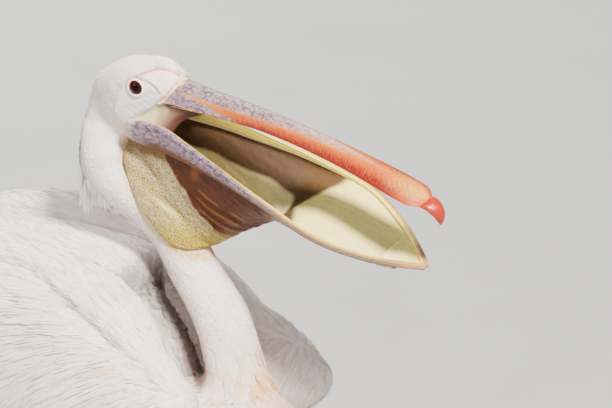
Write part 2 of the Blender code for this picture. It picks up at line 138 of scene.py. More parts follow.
# The bill's red cutting edge, painted darker for the shade along it
TOMIUM_RED_AND_SHADE = srgb(80, 4, 1)
BILL_PEACH = srgb(196, 104, 36)
BILL_CREAM = srgb(222, 168, 84)
NAIL_RED = srgb(162, 34, 0)
NAIL_TIP = srgb(190, 60, 6)
JAW_EDGE = srgb(236, 200, 40)
JAW_CREAM = srgb(232, 214, 70)
JAW_WHITE = srgb(246, 240, 214)
JAW_OLIVE = srgb(196, 178, 70)
JAW_PINK = srgb(140, 112, 82)
POUCH_OCHRE = srgb(206, 190, 146)
POUCH_YELLOW = srgb(186, 164, 50)
POUCH_CREAM = srgb(246, 234, 142)
# Painted shade on the jaw's lower band, on the pouch just below the jaw and where the pouch meets the neck
POUCH_SHADE_BROWN = srgb(96, 52, 12)
BLACK_FEATHER = srgb(46, 44, 48)
GREY_FEATHER = srgb(142, 138, 140)
VANE_SHADE = srgb(206, 200, 196)
FLOOR_LOW = (0.35, 0.347, 0.339)
FLOOR_HIGH = (0.38, 0.377, 0.368)
LEG_PINK = srgb(206, 142, 104)
LEG_ORANGE = srgb(204, 120, 66)
WEB_ORANGE = srgb(214, 120, 50)
SEAM_BROWN = srgb(150, 84, 56)
CLAW_GREY = srgb(90, 82, 78)


# ------------------------------------------------------------------- small tools


def unit(vectors):
    return vectors / np.maximum(np.linalg.norm(vectors, axis=-1, keepdims=True), 1e-12)


def blend(a, b, share):
    """From a, at 0, to b, at 1."""
    share = np.clip(share, 0, 1)[..., None]
    return np.asarray(a) * (1 - share) + np.asarray(b) * share


def layered(colour, *layers):
    """The colour with others laid over it in turn, each a pair of a hue and its share."""
    for hue, share in layers:
        colour = blend(colour, hue, share)
    return colour


def step(low, high, value):
    """0 below low, 1 above high, and smooth between. It falls where high is the lower."""
    t = np.clip((value - low) / (high - low), 0, 1)
    return t * t * (3 - 2 * t)


def bell(value, width):
    return np.exp(-((value / width) ** 2))


def circle(count):
    """Angles once round, for rings of so many points."""
    return np.linspace(0, math.tau, count, endpoint=False)


def power(value, exponent):
    return np.copysign(np.abs(value) ** exponent, value)


def curve(rows, at):
    """The rows' values at places between them: a cubic through every row."""
    rows = np.asarray(rows, float)
    at = np.atleast_1d(np.asarray(at, float))
    x = rows[:, 0]
    v = rows[:, 1:]
    low = np.clip(np.searchsorted(x, at, side="left") - 1, 0, len(x) - 2)
    before = np.maximum(low - 1, 0)
    after = np.minimum(low + 2, len(x) - 1)
    span = (x[low + 1] - x[low])[:, None]
    t = ((at - x[low]) / span[:, 0])[:, None]
    slope_in = (v[low + 1] - v[before]) / (x[low + 1] - x[before])[:, None] * span
    slope_out = (v[after] - v[low]) / (x[after] - x[low])[:, None] * span
    return (
        v[low] * (2 * t**3 - 3 * t**2 + 1)
        + slope_in * (t**3 - 2 * t**2 + t)
        + v[low + 1] * (3 * t**2 - 2 * t**3)
        + slope_out * (t**3 - t**2)
    )


def ripple(points, size, seed, waves=7):
    """Smooth random values, about -1 to 1, that change over a distance of size."""
    draw = np.random.default_rng(seed)
    total = np.zeros(len(points))
    for _ in range(waves):
        heading = unit(draw.normal(size=3)) * draw.uniform(0.6, 1.5) * math.tau / (2 * size)
        total += np.sin(points @ heading + draw.uniform(0, math.tau))
    return total / math.sqrt(waves) * 0.9


def box_centre(node):
    low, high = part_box(node)
    return (np.array(low) + np.array(high)) / 2


def head_axes():
    """The head's origin and its three axes as columns, from where the eyes are."""
    left = box_centre("eye_left")
    right = box_centre("eye_right")
    side = unit(left - right)
    ahead = np.array([math.cos(HEAD_YAW), math.sin(HEAD_YAW), 0.0])
    above = np.cross(ahead, side)
    return (left + right) / 2 - ahead * EYE_AT[0] - above * EYE_AT[2], np.stack([ahead, side, above], 1)


HEAD_AT, HEAD_AXES = head_axes()


def to_head(points):
    return (points - HEAD_AT) @ HEAD_AXES


def from_head(points):
    return HEAD_AT + np.asarray(points) @ HEAD_AXES.T


def build_mesh(name, verts, polys):
    """A smooth-shaded mesh from vertices and arrays of faces with equally many corners."""
    mesh = bpy.data.meshes.new(name)
    loops = np.concatenate([p.ravel() for p in polys]).astype(np.int32)
    sizes = np.concatenate([np.full(len(p), p.shape[1]) for p in polys])
    starts = np.concatenate([[0], np.cumsum(sizes)[:-1]]).astype(np.int32)
    mesh.vertices.add(len(verts))
    mesh.vertices.foreach_set("co", np.asarray(verts, np.float32).ravel())
    mesh.loops.add(len(loops))
    mesh.loops.foreach_set("vertex_index", loops)
    mesh.polygons.add(len(sizes))
    mesh.polygons.foreach_set("loop_start", starts)
    mesh.update(calc_edges=True)
    mesh.shade_smooth()
    return mesh


def face_outwards(mesh):
    bm = bmesh.new()
    bm.from_mesh(mesh)
    bmesh.ops.recalc_face_normals(bm, faces=bm.faces)
    bm.to_mesh(mesh)
    bm.free()


def added(name, data):
    """A new object in the scene."""
    made = bpy.data.objects.new(name, data)
    bpy.context.scene.collection.objects.link(made)
    return made


def paint(mesh, colours, extra=1.0):
    """Stores each vertex's colour, with a fourth value that the material uses as a mask."""
    layer = mesh.color_attributes.new("tint", "FLOAT_COLOR", "POINT")
    values = np.ones((len(mesh.vertices), 4), np.float32)
    values[:, :3] = colours
    values[:, 3] = extra
    layer.data.foreach_set("color", values.ravel())


def place(name, mesh, look, nodes=()):
    """Makes a piece of the model from a mesh."""
    made = added(name, mesh)
    mesh.materials.append(look)
    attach(made, "root")
    if nodes:
        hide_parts(*nodes)
    return made


def loft(rings):
    """Faces of a closed tube through rings of equally many points, as arrays for build_mesh."""
    rows, count = rings.shape[:2]
    index = np.arange(rows * count).reshape(rows, count)
    low = index[:-1]
    high = index[1:]
    quads = np.stack([low, np.roll(low, -1, 1), np.roll(high, -1, 1), high], -1).reshape(-1, 4)
    return [quads, index[:1, ::-1], index[-1:]]


def tube(path, over, above, wide, tall):
    """Rings round a path. Wide and tall are each point's distances in the two directions."""
    over, above = (np.broadcast_to(v, path.shape)[:, None, :] for v in (over, above))
    return path[:, None, :] + over * wide[..., None] + above * tall[..., None]


def solid(name, parts, colours, look, nodes=(), mask=1.0, local=True):
    """A piece of one or more closed tubes, whose rings are in the head's frame where local is true."""
    quads = []
    ends = []
    start = 0
    for rings in parts:
        sides, *caps = loft(rings)
        quads.append(sides + start)
        ends += [cap + start for cap in caps]
        start += rings.size // 3
    verts = np.concatenate([rings.reshape(-1, 3) for rings in parts])
    mesh = build_mesh(name, from_head(verts) if local else verts, [np.concatenate(quads), *ends])
    face_outwards(mesh)
    paint(mesh, colours, mask)
    return place(name, mesh, look, nodes)


def read(items, key, width, kind=np.float32):
    """One property of a mesh's items, as rows."""
    values = np.empty(len(items) * width, kind)
    items.foreach_get(key, values)
    return values.reshape(-1, width)


def coords(mesh):
    return read(mesh.vertices, "co", 3).astype(float)


def normals_of(mesh):
    return read(mesh.vertex_normals, "vector", 3).astype(float)


def tree_of(mesh):
    return BVHTree.FromPolygons(coords(mesh).tolist(), [tuple(p.vertices) for p in mesh.polygons])


def set_coords(mesh, values):
    mesh.vertices.foreach_set("co", np.asarray(values, np.float32).ravel())
    mesh.update()


def applied(mesh, kind, **settings):
    """The mesh with one modifier applied."""
    holder = added("holder", mesh)
    modifier = holder.modifiers.new("change", kind)
    for key, value in settings.items():
        setattr(modifier, key, value)
    graph = bpy.context.evaluated_depsgraph_get()
    result = bpy.data.meshes.new_from_object(holder.evaluated_get(graph))
    bpy.data.objects.remove(holder)
    return result


def node_mesh(name, quads=False):
    """A copy of a CAD node's mesh with its corners merged."""
    bm = bmesh.new()
    bm.from_mesh(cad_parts[name].data)
    bmesh.ops.remove_doubles(bm, verts=bm.verts, dist=1e-5)
    if quads:
        bmesh.ops.join_triangles(
            bm, faces=bm.faces, angle_face_threshold=0.8, angle_shape_threshold=3.0, cmp_seam=False
        )
    mesh = bpy.data.meshes.new(name + "_copy")
    bm.to_mesh(mesh)
    bm.free()
    return mesh


# ------------------------------------------------------------------- materials


class Look:
    """A procedural material. Each method adds nodes and returns the socket with the result."""

    def __init__(self, name, rough, **settings):
        self.material = bpy.data.materials.new(name)
        self.material.use_nodes = True
        self.nodes = self.material.node_tree.nodes
        self.links = self.material.node_tree.links
        self.shader = self.nodes["Principled BSDF"]
        self.shader.inputs["Roughness"].default_value = rough
        for key, value in settings.items():
            self.shader.inputs[key.replace("_", " ")].default_value = value
        self.place = self.add("ShaderNodeTexCoord").outputs["Object"]
        tint = self.add("ShaderNodeAttribute")
        tint.attribute_name = "tint"
        self.tint = tint.outputs["Color"]
        self.mask = tint.outputs["Alpha"]

    def add(self, kind, **values):
        node = self.nodes.new(kind)
        for key, value in values.items():
            self.feed(node.inputs[key], value)
        return node

    def feed(self, socket, value):
        if isinstance(value, bpy.types.NodeSocket):
            self.links.new(value, socket)
        elif isinstance(value, tuple) and len(value) == 3 and socket.type == "RGBA":
            socket.default_value = (*value, 1.0)
        else:
            socket.default_value = value

    def stretched(self, scale):
        mapping = self.add("ShaderNodeMapping", Vector=self.place)
        mapping.inputs["Scale"].default_value = scale
        return mapping.outputs["Vector"]

    def noise(self, size, detail=3.0, stretch=(1, 1, 1), rough=0.55):
        node = self.add("ShaderNodeTexNoise", Vector=self.stretched(stretch))
        node.inputs["Scale"].default_value = 1 / size
        node.inputs["Detail"].default_value = detail
        node.inputs["Roughness"].default_value = rough
        return node.outputs["Fac"]

    def cells(self, size, stretch=(1, 1, 1)):
        node = self.add("ShaderNodeTexVoronoi", Vector=self.stretched(stretch))
        node.feature = "DISTANCE_TO_EDGE"
        node.inputs["Scale"].default_value = 1 / size
        return node.outputs["Distance"]

    def between(self, value, low, high, start=0.0, end=1.0):
        node = self.add("ShaderNodeMapRange", Value=value)
        for key, number in (("From Min", low), ("From Max", high), ("To Min", start), ("To Max", end)):
            node.inputs[key].default_value = number
        return node.outputs["Result"]

    def math(self, operation, a, b):
        node = self.nodes.new("ShaderNodeMath")
        node.operation = operation
        self.feed(node.inputs[0], a)
        self.feed(node.inputs[1], b)
        return node.outputs[0]

    def mix(self, share, a, b, kind="MIX"):
        node = self.nodes.new("ShaderNodeMix")
        node.data_type = "RGBA"
        node.blend_type = kind
        self.feed(node.inputs["Factor"], share)
        self.feed(node.inputs[6], a)
        self.feed(node.inputs[7], b)
        return node.outputs[2]

    def shade(self, colour, value, low, high, most, hue):
        """The colour multiplied by a hue, by a share that grows to most as the value rises."""
        return self.mix(self.between(value, low, high, 0.0, most), colour, hue, "MULTIPLY")

    def bump(self, height, distance, strength, over=None):
        node = self.add("ShaderNodeBump", Height=height)
        node.inputs["Distance"].default_value = distance
        self.feed(node.inputs["Strength"], strength)
        if over is not None:
            self.links.new(over, node.inputs["Normal"])
        return node.outputs["Normal"]

    def finish(self, colour, normal=None, rough=None):
        self.links.new(colour, self.shader.inputs["Base Color"])
        if normal is not None:
            self.links.new(normal, self.shader.inputs["Normal"])
        if rough is not None:
            self.links.new(rough, self.shader.inputs["Roughness"])
        return self.material


def skin_look():
    look = Look("bare_skin", 0.5, Specular_IOR_Level=0.35)
    fine = look.noise(0.0022, 4)
    broad = look.noise(0.012, 2)
    colour = look.shade(look.tint, broad, 0.35, 0.7, 0.25, srgb(232, 204, 204))
    colour = look.shade(colour, fine, 0.45, 0.75, 0.18, srgb(206, 176, 172))
    pores = look.bump(look.cells(0.0013), 0.0002, 0.5)
    normal = look.bump(fine, 0.0005, 0.5, pores)
    return look.finish(colour, normal, look.between(fine, 0.2, 0.8, 0.42, 0.62))


def plume_look(name, rough, silk, dark):
    """Feather: fine long barbs, and a soft change of tone from one place to the next."""
    look = Look(name, rough, Specular_IOR_Level=0.25, Sheen_Weight=silk, Sheen_Roughness=0.4)
    barbs = look.noise(0.0009, 2, (1.0, 1.6, 1.6))
    broad = look.noise(0.03, 2)
    colour = look.shade(look.tint, barbs, 0.35, 0.75, 0.35, dark)
    colour = look.shade(colour, broad, 0.4, 0.75, 0.25, dark)
    return look.finish(colour, look.bump(barbs, 0.0002, 0.3))


def horn_look(name, rough, dark, spot=0.0032, coat=0.03):
    """Bill horn: painted colour with mottling where the mask says so, fine ribs and pits."""
    look = Look(name, rough, Specular_IOR_Level=0.18, Coat_Weight=coat, Coat_Roughness=0.3)
    blotch = look.noise(spot, 3, (0.8, 1, 1), 0.65)
    specks = look.noise(spot * 0.4, 2, (1, 1, 1), 0.6)
    mottle = look.math("MULTIPLY", look.between(blotch, 0.43, 0.58, 0.0, 0.85), look.mask)
    colour = look.mix(mottle, look.tint, dark)
    grain = look.math("MULTIPLY", look.between(specks, 0.52, 0.70, 0, 0.5), look.mask)
    colour = look.mix(grain, colour, srgb(214, 196, 196))
    ribs = look.noise(0.0028, 3, (3.0, 0.4, 0.4))
    colour = look.shade(colour, ribs, 0.42, 0.66, 0.30, srgb(226, 140, 90))
    normal = look.bump(ribs, 0.0006, 0.5)
    normal = look.bump(specks, 0.0002, 0.5, normal)
    return look.finish(colour, normal, look.between(blotch, 0.3, 0.7, rough - 0.08, rough + 0.1))


def pouch_look():
    """Thin wet skin with a net of fine wrinkles, deepest where the mask is high."""
    look = Look("pouch_skin", 0.5, Specular_IOR_Level=0.16, Coat_Weight=0.02, Coat_Roughness=0.35)
    net = look.cells(0.0025, (0.8, 1.0, 1.25))
    creases = look.between(net, 0.0, 0.30)
    lines = look.noise(0.0036, 3, (1.2, 1.2, 0.35), 0.6)
    broad = look.noise(0.02, 2)
    # Painted shade in the creases of the net, deepest where the mask is high
    crease_shade = look.math("MULTIPLY", look.between(net, 0.24, 0.03, 0.0, 0.8), look.mask)
    colour = look.mix(crease_shade, look.tint, srgb(104, 80, 42))
    colour = look.shade(colour, lines, 0.4, 0.72, 0.3, srgb(224, 192, 146))
    colour = look.shade(colour, broad, 0.4, 0.7, 0.25, srgb(240, 222, 184))
    normal = look.bump(creases, 0.0008, look.between(look.mask, 0.0, 1.0, 0.12, 0.7))
    normal = look.bump(lines, 0.0008, 0.45, normal)
    return look.finish(colour, normal, look.between(lines, 0.2, 0.8, 0.34, 0.55))


def scale_look():
    """Leg skin: small many-sided scales with darker seams."""
    look = Look("leg_scales", 0.5, Specular_IOR_Level=0.4)
    seams = look.cells(0.0017)
    shade = look.noise(0.012, 3)
    colour = look.mix(look.between(seams, 0.12, 0.0, 0.0, 0.45), look.tint, srgb(150, 90, 64))
    colour = look.shade(colour, shade, 0.4, 0.7, 0.3, srgb(216, 176, 150))
    return look.finish(colour, look.bump(look.between(seams, 0.0, 0.25), 0.0007, 0.7))


def eye_look():
    look = Look("eye_ball", 0.04, Specular_IOR_Level=0.14)
    spokes = look.noise(0.0012, 3)
    return look.finish(look.shade(look.tint, spokes, 0.4, 0.7, 0.5, srgb(40, 16, 10)))


def floor_look():
    look = Look("floor_paint", 0.8)
    colour = look.mix(look.between(look.noise(0.25, 3), 0.3, 0.7), FLOOR_LOW, FLOOR_HIGH)
    return look.finish(colour, look.bump(look.noise(0.004, 3), 0.0003, 0.2))


SKIN_LOOK = skin_look()
DOWN_LOOK = plume_look("white_plumage", 0.85, 0.15, srgb(226, 206, 194))
CREST_LOOK = plume_look("crest_plumage", 0.75, 0.15, srgb(236, 228, 222))
FLIGHT_LOOK = plume_look("flight_plumage", 0.5, 0.05, srgb(150, 146, 150))
BILL_LOOK = horn_look("upper_horn", 0.45, srgb(72, 54, 68), spot=0.0042)
JAW_LOOK = horn_look("lower_horn", 0.45, srgb(70, 56, 70), spot=0.0050)
NAIL_LOOK = horn_look("nail_horn", 0.26, srgb(190, 70, 24), coat=0.35)
POUCH_LOOK = pouch_look()
LEG_LOOK = scale_look()
EYE_LOOK = eye_look()


# ------------------------------------------------------------------- markings


POUCH_TREE = tree_of(node_mesh("pouch"))
NECK_TREES = [tree_of(node_mesh(n)) for n in ("neck_upper", "neck_middle", "neck_lower")]


def pouch_distance(points):
    """Distance to the pouch, worked out only in its neighbourhood."""
    low, high = (np.array(c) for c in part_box("pouch"))
    near = ((points > low - 0.02) & (points < high + 0.02)).all(1)
    away = np.full(len(points), 1.0)
    away[near] = [POUCH_TREE.find_nearest(p)[3] for p in points[near].tolist()]
    return away


def neck_distance(points):
    """Distance to the outline of the neck."""
    return np.array([min(tree.find_nearest(p)[3] for tree in NECK_TREES) for p in points.tolist()])


# Edge of the bare face, in the head's x and z, from the forehead's point over and behind the eye
FACE_LINE = (
    (-0.0125, 0.0365),
    (-0.0305, 0.0425),
    (-0.0525, 0.0355),
    (-0.0740, 0.0235),
    (-0.0845, 0.0096),
    (-0.0890, -0.0020),
    (-0.0935, -0.0165),
    (-0.0860, -0.0300),
)
FACE_EDGE = ((-0.004, 0.030), *FACE_LINE, (-0.060, -0.042), (0.03, -0.042), (0.03, 0.02))
# The line of warm skin along that edge: x, distance from the middle, z in the head's frame
FACE_ARC = (
    (-0.0887, 0.0344, -0.0018),
    (-0.0845, 0.0326, 0.0096),
    (-0.0739, 0.0287, 0.0227),
    (-0.0640, 0.0255, 0.0296),
    (-0.0527, 0.0224, 0.0355),
    (-0.0400, 0.0172, 0.0411),
    (-0.0307, 0.0124, 0.0434),
    (-0.0204, 0.0081, 0.0419),
    (-0.0121, 0.0039, 0.0371),
    (-0.0074, 0.0012, 0.0323),
)
# Half width of the feathers' point on the forehead, by distance along the head
FOREHEAD = (
    (-0.060, 0.0230), (-0.040, 0.0168), (-0.031, 0.0122), (-0.020, 0.0080), (-0.012, 0.0038),
    (-0.004, 0.0010),
)
# The fold from the eye towards the bill: x and z in the head's frame
LORE_FOLD = ((-0.0500, 0.0302), (-0.0430, 0.0286), (-0.0350, 0.0262), (-0.0285, 0.0215), (-0.0250, 0.0160))


def line_distance(points, path):
    """Distance of points from a path of straight pieces, in as many dimensions as they have."""
    path = np.array(path)
    best = np.full(len(points), np.inf)
    for start, end in zip(path[:-1], path[1:]):
        run = end - start
        share = np.clip((points - start) @ run / (run @ run), 0, 1)
        best = np.minimum(best, np.linalg.norm(points - start - share[:, None] * run, axis=1))
    return best


def folded(points):
    """The points with those on the right side mirrored to the left."""
    return points * (1, 0, 1) + np.abs(points) * (0, 1, 0)


def past_bill_root(x, z):
    """Distance ahead of the slanting line where the bill meets the face, in the head's frame."""
    return x + 0.0035 + ROOT_SLANT * np.clip(0.0285 - z, 0, 0.03)


def bare(points):
    """How far inside the bare face a point is, in metres: negative in the feathers."""
    q = to_head(points)
    flat = q[:, (0, 2)]
    edge = np.array(FACE_EDGE)
    inside = np.zeros(len(flat), bool)
    for start, end in zip(edge, np.roll(edge, -1, 0)):
        crosses = (start[1] > flat[:, 1]) != (end[1] > flat[:, 1])
        slope = (end[0] - start[0]) / (end[1] - start[1]) if end[1] != start[1] else 0.0
        inside ^= crosses & (flat[:, 0] < start[0] + (flat[:, 1] - start[1]) * slope)
    away = line_distance(flat, (*FACE_EDGE, FACE_EDGE[0]))
    away = np.where(inside & (q[:, 2] > -0.05), away, -away)
    crown = (q[:, 0] > -0.060) & (q[:, 2] > 0.026)
    point = np.abs(q[:, 1]) - curve(FOREHEAD, np.clip(q[:, 0], -0.060, -0.004))[:, 0]
    return np.where(crown, np.minimum(np.maximum(away, point * 0.8), point * 0.8 + 0.0001), away)


# The deep fold between a wing's shoulder and the neck: a path on the left, mirrored on the right
HOLLOW = (
    (0.096, 0.024, 0.322), (0.124, 0.030, 0.286), (0.141, 0.034, 0.262), (0.153, 0.036, 0.243),
    (0.165, 0.038, 0.216),
)


def in_hollow(points):
    """Share, 0 to 1, of how deep in the dark fold beside the neck a point is, seen from the side."""
    flat = line_distance(points * (1, 0, 1), [(x, 0, z) for x, _, z in HOLLOW])
    return bell(flat, 0.017) * step(0.068, 0.055, np.abs(points[:, 1])) * step(0.345, 0.305, points[:, 2])


def tint(points):
    """The colour of skin and coat at a place: one set of markings for both."""
    q = to_head(points)
    x, y, z = q.T
    px, py, pz = points.T
    stain = bell(np.hypot(px - 0.248, pz - 0.215), 0.052) * step(0.10, 0.0, np.abs(py - 0.01))
    streaks = step(0.0, 0.8, ripple(points * (1, 1, 0.3), 0.006, 5))
    throat = step(0.011, 0.001, pouch_distance(points))
    colour = layered(
        WHITE,
        (PEACH, 0.08 + 0.16 * ripple(points, 0.05, 3) + 0.10 * ripple(points, 0.012, 4)),
        (OCHRE_STAIN, stain * (0.45 + 0.55 * streaks)),
        (HOLLOW_SHADE, 0.97 * in_hollow(points)),
        (SKIN_YELLOW, throat * (0.75 + 0.25 * ripple(points, 0.005, 6))),
    )
    root = bell(past_bill_root(x, z), 0.0055)
    face = layered(
        FACE,
        (FACE_LOW, step(0.024, 0.002, z)),
        # painted shade in the hollow in front of the eye
        (LORE_HOLLOW_SHADE, 0.6 * bell(np.hypot(x + 0.031, z - 0.015), 0.008)),
        (SKIN_YELLOW, 0.9 * root * (0.7 + 0.3 * ripple(q, 0.003, 7))),
        (GAPE_CREAM, step(-0.006, -0.018, z) * step(-0.075, -0.055, x)),
        # painted shade on the face's front inside the mouth
        (MOUTH_SHADE_BROWN, step(0.028, 0.021, np.abs(y)) * step(-0.008, -0.020, z) * step(-0.09, -0.06, x)),
    )
    near = (z > -0.06) & (x > -0.12)
    line = line_distance(folded(q), FACE_ARC)
    strength = step(0.012, 0.034, z) * 0.65 + 0.25 * step(-0.03, -0.005, z)
    strength = strength * (1 - 0.8 * step(0.0, 0.004, y) * step(0.034, 0.040, z))
    colour = layered(
        colour,
        (face, near * step(-0.0008, 0.0012, bare(points))),
        (SALMON, near * strength * (0.7 * bell(line, 0.0011) + 0.3 * bell(line, 0.003))),
    )
    return np.clip(colour, 0, 1)


# ------------------------------------------------------------------- skin

FLESH = ("head", "neck_upper", "neck_middle", "neck_lower", "breast", "trunk")
LIMBS = ("wing_left", "wing_right", "thigh_left", "thigh_right")
VOXEL = 0.0032
OVERLAP = 0.0006  # closes the thin cuts between the solids
# Where the smooth scapulars overlie the wing's plumes: x, z of the line on each wing
MANTLE_LINE = (
    (-0.30, 0.300), (-0.15, 0.335), (-0.013, 0.3375), (0.042, 0.316), (0.085, 0.296), (0.137, 0.270),
    (0.175, 0.249), (0.206, 0.231),
)


def joined_flesh():
    verts = []
    faces = []
    start = 0
    for name in FLESH + LIMBS:
        mesh = node_mesh(name)
        verts.append(coords(mesh) + normals_of(mesh) * OVERLAP)
        mesh.calc_loop_triangles()
        faces.append(read(mesh.loop_triangles, "vertices", 3, np.int32) + start)
        start += len(verts[-1])
    return build_mesh("flesh", np.concatenate(verts), [np.concatenate(faces)])


def largest_island(mesh):
    """Drops closed bubbles left inside by the remesh."""
    bm = bmesh.new()
    bm.from_mesh(mesh)
    bm.verts.ensure_lookup_table()
    seen = set()
    islands = []
    for seed in bm.verts:
        if seed.index in seen:
            continue
        group = [seed]
        seen.add(seed.index)
        for vert in group:
            for edge in vert.link_edges:
                other = edge.other_vert(vert)
                if other.index not in seen:
                    seen.add(other.index)
                    group.append(other)
        islands.append(group)
    islands.sort(key=len)
    for group in islands[:-1]:
        bmesh.ops.delete(bm, geom=group, context="VERTS")
    bm.to_mesh(mesh)
    bm.free()


def split_face(mesh):
    """Halves the mesh's spacing on the face, for lids and folds."""
    bm = bmesh.new()
    bm.from_mesh(mesh)
    places = to_head(np.array([v.co for v in bm.verts]))
    face = (places[:, 0] > -0.10) & (places[:, 2] > -0.045) & (places[:, 2] < 0.05)
    edges = [e for e in bm.edges if face[e.verts[0].index] and face[e.verts[1].index]]
    bmesh.ops.subdivide_edges(bm, edges=edges, cuts=1, use_grid_fill=True)
    bm.to_mesh(mesh)
    bm.free()


def relaxed(mesh, rounds, share):
    """Vertices moved towards the mean of their neighbours; share may differ by vertex."""
    a, b = read(mesh.edges, "vertices", 2, np.int32).T
    places = coords(mesh)
    count = np.bincount(a, minlength=len(places)) + np.bincount(b, minlength=len(places))
    for _ in range(rounds):
        total = np.zeros_like(places)
        for axis in range(3):
            total[:, axis] = sum(np.bincount(i, places[j, axis], len(places)) for i, j in ((a, b), (b, a)))
        places += (total / count[:, None] - places) * share
    return places


def coat_depth(points):
    """How far the skin lies under the outline of the plumage."""
    q = to_head(points)
    on_head = step(-0.16, -0.11, q[:, 2]) * step(-0.13, -0.09, q[:, 0])
    depth = 0.0062 * np.ones(len(points))
    neck = step(0.24, 0.30, points[:, 2]) * step(0.03, 0.12, points[:, 0] + 0.5 * (points[:, 2] - 0.24))
    depth = depth * (1 - neck) + 0.0032 * neck
    depth = depth * (1 - on_head) + 0.0012 * on_head
    depth *= step(0.0, -0.004, bare(points) * (q[:, 2] > -0.045))
    return np.where(points[:, 2] < 0.004, 0.003, depth)


def mantle_edge(points):
    """Height above the line where the scapulars end, on the outside of either wing."""
    x, y, z = points.T
    level = curve(MANTLE_LINE, np.clip(x, -0.30, 0.206))[:, 0]
    return np.where((np.abs(y) > 0.06) & (x < 0.23), z - level, -1.0)


def face_relief(q):
    """Folds and swellings of the bare face, as heights over the smooth skin."""
    flat = q[:, (0, 2)]
    x, z = flat.T
    eye = np.hypot(x - EYE_AT[0] - 0.001, z - EYE_AT[2] - 0.003)
    outside = step(0.010, 0.022, np.abs(q[:, 1]))
    groove = line_distance(flat, LORE_FOLD)
    height = -0.0017 * bell(groove, 0.0019)
    height += 0.0012 * bell(line_distance(flat, np.array(LORE_FOLD) + (0.0012, 0.0046)), 0.0034)
    height += -0.0010 * bell(np.hypot(x + 0.030, z - 0.013), 0.007)
    height += 0.0012 * bell(eye - 0.0125, 0.0032)
    height += -0.0005 * bell(eye - 0.0170, 0.0022) * step(0.03, 0.015, z)
    height += -0.0006 * bell(line_distance(folded(q), FACE_ARC), 0.0018)
    height += 0.0016 * bell(past_bill_root(x, z) + 0.0015, 0.0035)
    height += 0.00022 * ripple(q, 0.0045, 21) + 0.0003 * ripple(q, 0.011, 22)
    return height * outside


def build_skin():
    mesh = applied(joined_flesh(), "REMESH", mode="VOXEL", voxel_size=VOXEL, adaptivity=0.0)
    largest_island(mesh)
    split_face(mesh)
    set_coords(mesh, relaxed(mesh, 4, 0.5))
    places = coords(mesh)
    places -= normals_of(mesh) * (coat_depth(places) + OVERLAP)[:, None]
    set_coords(mesh, places)
    places = relaxed(mesh, 2, 0.4)
    set_coords(mesh, places)  # the relief below rises along this surface's normals
    q = to_head(places)
    height = np.where((q[:, 2] > -0.05) & (q[:, 0] > -0.105), face_relief(q), 0.0)
    edge = mantle_edge(places)
    along = step(-0.25, -0.12, places[:, 0]) * step(0.23, 0.19, places[:, 0])
    height += 0.0045 * step(-0.003, 0.006, edge) * step(0.055, 0.02, edge) * along
    height -= 0.0040 * bell(edge + 0.005, 0.009) * along
    height -= 0.036 * bell(line_distance(folded(places), HOLLOW), 0.022) * step(0.335, 0.285, places[:, 2])
    places += normals_of(mesh) * height[:, None]
    places[:, 2] = np.maximum(places[:, 2], 0.0012)
    set_coords(mesh, places)
    mesh.shade_smooth()
    paint(mesh, tint(places))
    return mesh


def unwrap(made):
    """Flattens the skin in patches that don't overlap, for the coat's own map."""
    bpy.context.view_layer.objects.active = made
    made.select_set(True)
    bpy.ops.object.mode_set(mode="EDIT")
    bpy.ops.mesh.select_all(action="SELECT")
    bpy.ops.uv.smart_project(angle_limit=math.radians(66), island_margin=0.001)
    bpy.ops.object.mode_set(mode="OBJECT")
    made.select_set(False)
    made.data.uv_layers[0].name = "OFBake"


SKIN_MESH = build_skin()
unwrap(place("skin", SKIN_MESH, SKIN_LOOK, FLESH + LIMBS))
SKIN_POINTS = coords(SKIN_MESH)
SKIN_TREE = tree_of(SKIN_MESH)
SKIN_MAP = read(SKIN_MESH.uv_layers["OFBake"].data, "uv", 2)


# ------------------------------------------------------------------- lie of the plumage


# The middle line: in the head's frame down the face, then x and z down the neck and along the body
FACE_SPINE = ((0.02, 0, 0.01), (-0.03, 0, 0.005), (-0.07, 0, -0.005), (-0.095, 0, -0.035))
BODY_SPINE = (
    (0.026, 0.468), (0.034, 0.438), (0.063, 0.421), (0.119, 0.389), (0.158, 0.334), (0.192, 0.287),
    (0.205, 0.235), (0.190, 0.180), (0.130, 0.150), (0.0, 0.150), (-0.15, 0.165), (-0.28, 0.18),
    (-0.40, 0.19),
)


def spine():
    """The middle line from the face to the rump, with its headings."""
    knots = np.concatenate([from_head(FACE_SPINE), [(x, 0.0, z) for x, z in BODY_SPINE]])
    rows = np.column_stack([np.arange(len(knots)), knots])
    line = curve(rows, np.linspace(0, len(knots) - 1, 160))
    return line, unit(np.gradient(line, axis=0))


SPINE, SPINE_RUN = spine()


def on_wing(points):
    """Share by which a point belongs to a folded wing, not the body."""
    x, y, z = points.T
    bottom = z - 0.12 * step(-0.15, -0.35, x)
    return step(0.062, 0.085, np.abs(y)) * step(0.075, 0.115, bottom) * step(0.27, 0.25, x)


def lie(points, normals):
    """Unit direction of the feathers, along the skin."""
    away = ((points[:, None, :] - SPINE[None]) ** 2).sum(2)
    weight = np.exp(-(away - away.min(1, keepdims=True)) / (2 * 0.022**2))
    run = unit(weight @ SPINE_RUN)
    x, _, z = points.T
    wing = on_wing(points)
    slope = np.radians(9 + 40 * step(0.32, 0.19, z)) * step(-0.30, 0.05, x)
    below = step(0.004, -0.004, mantle_edge(points))
    slope = slope * below - np.radians(22) * (1 - below) * step(-0.08, 0.08, x)
    back = np.stack([-np.cos(slope), 0 * slope, -np.sin(slope)], 1)
    rump = step(0.135, 0.100, x) * step(0.17, 0.22, z) * step(0.365, 0.350, z - 0.1 * np.maximum(0, -x))
    run = unit(run * (1 - rump[:, None]) + np.array([-1.0, 0.0, 0.0]) * rump[:, None])
    run = unit(run * (1 - wing[:, None]) + back * wing[:, None])
    run -= normals * (run * normals).sum(1, keepdims=True)
    return unit(run)


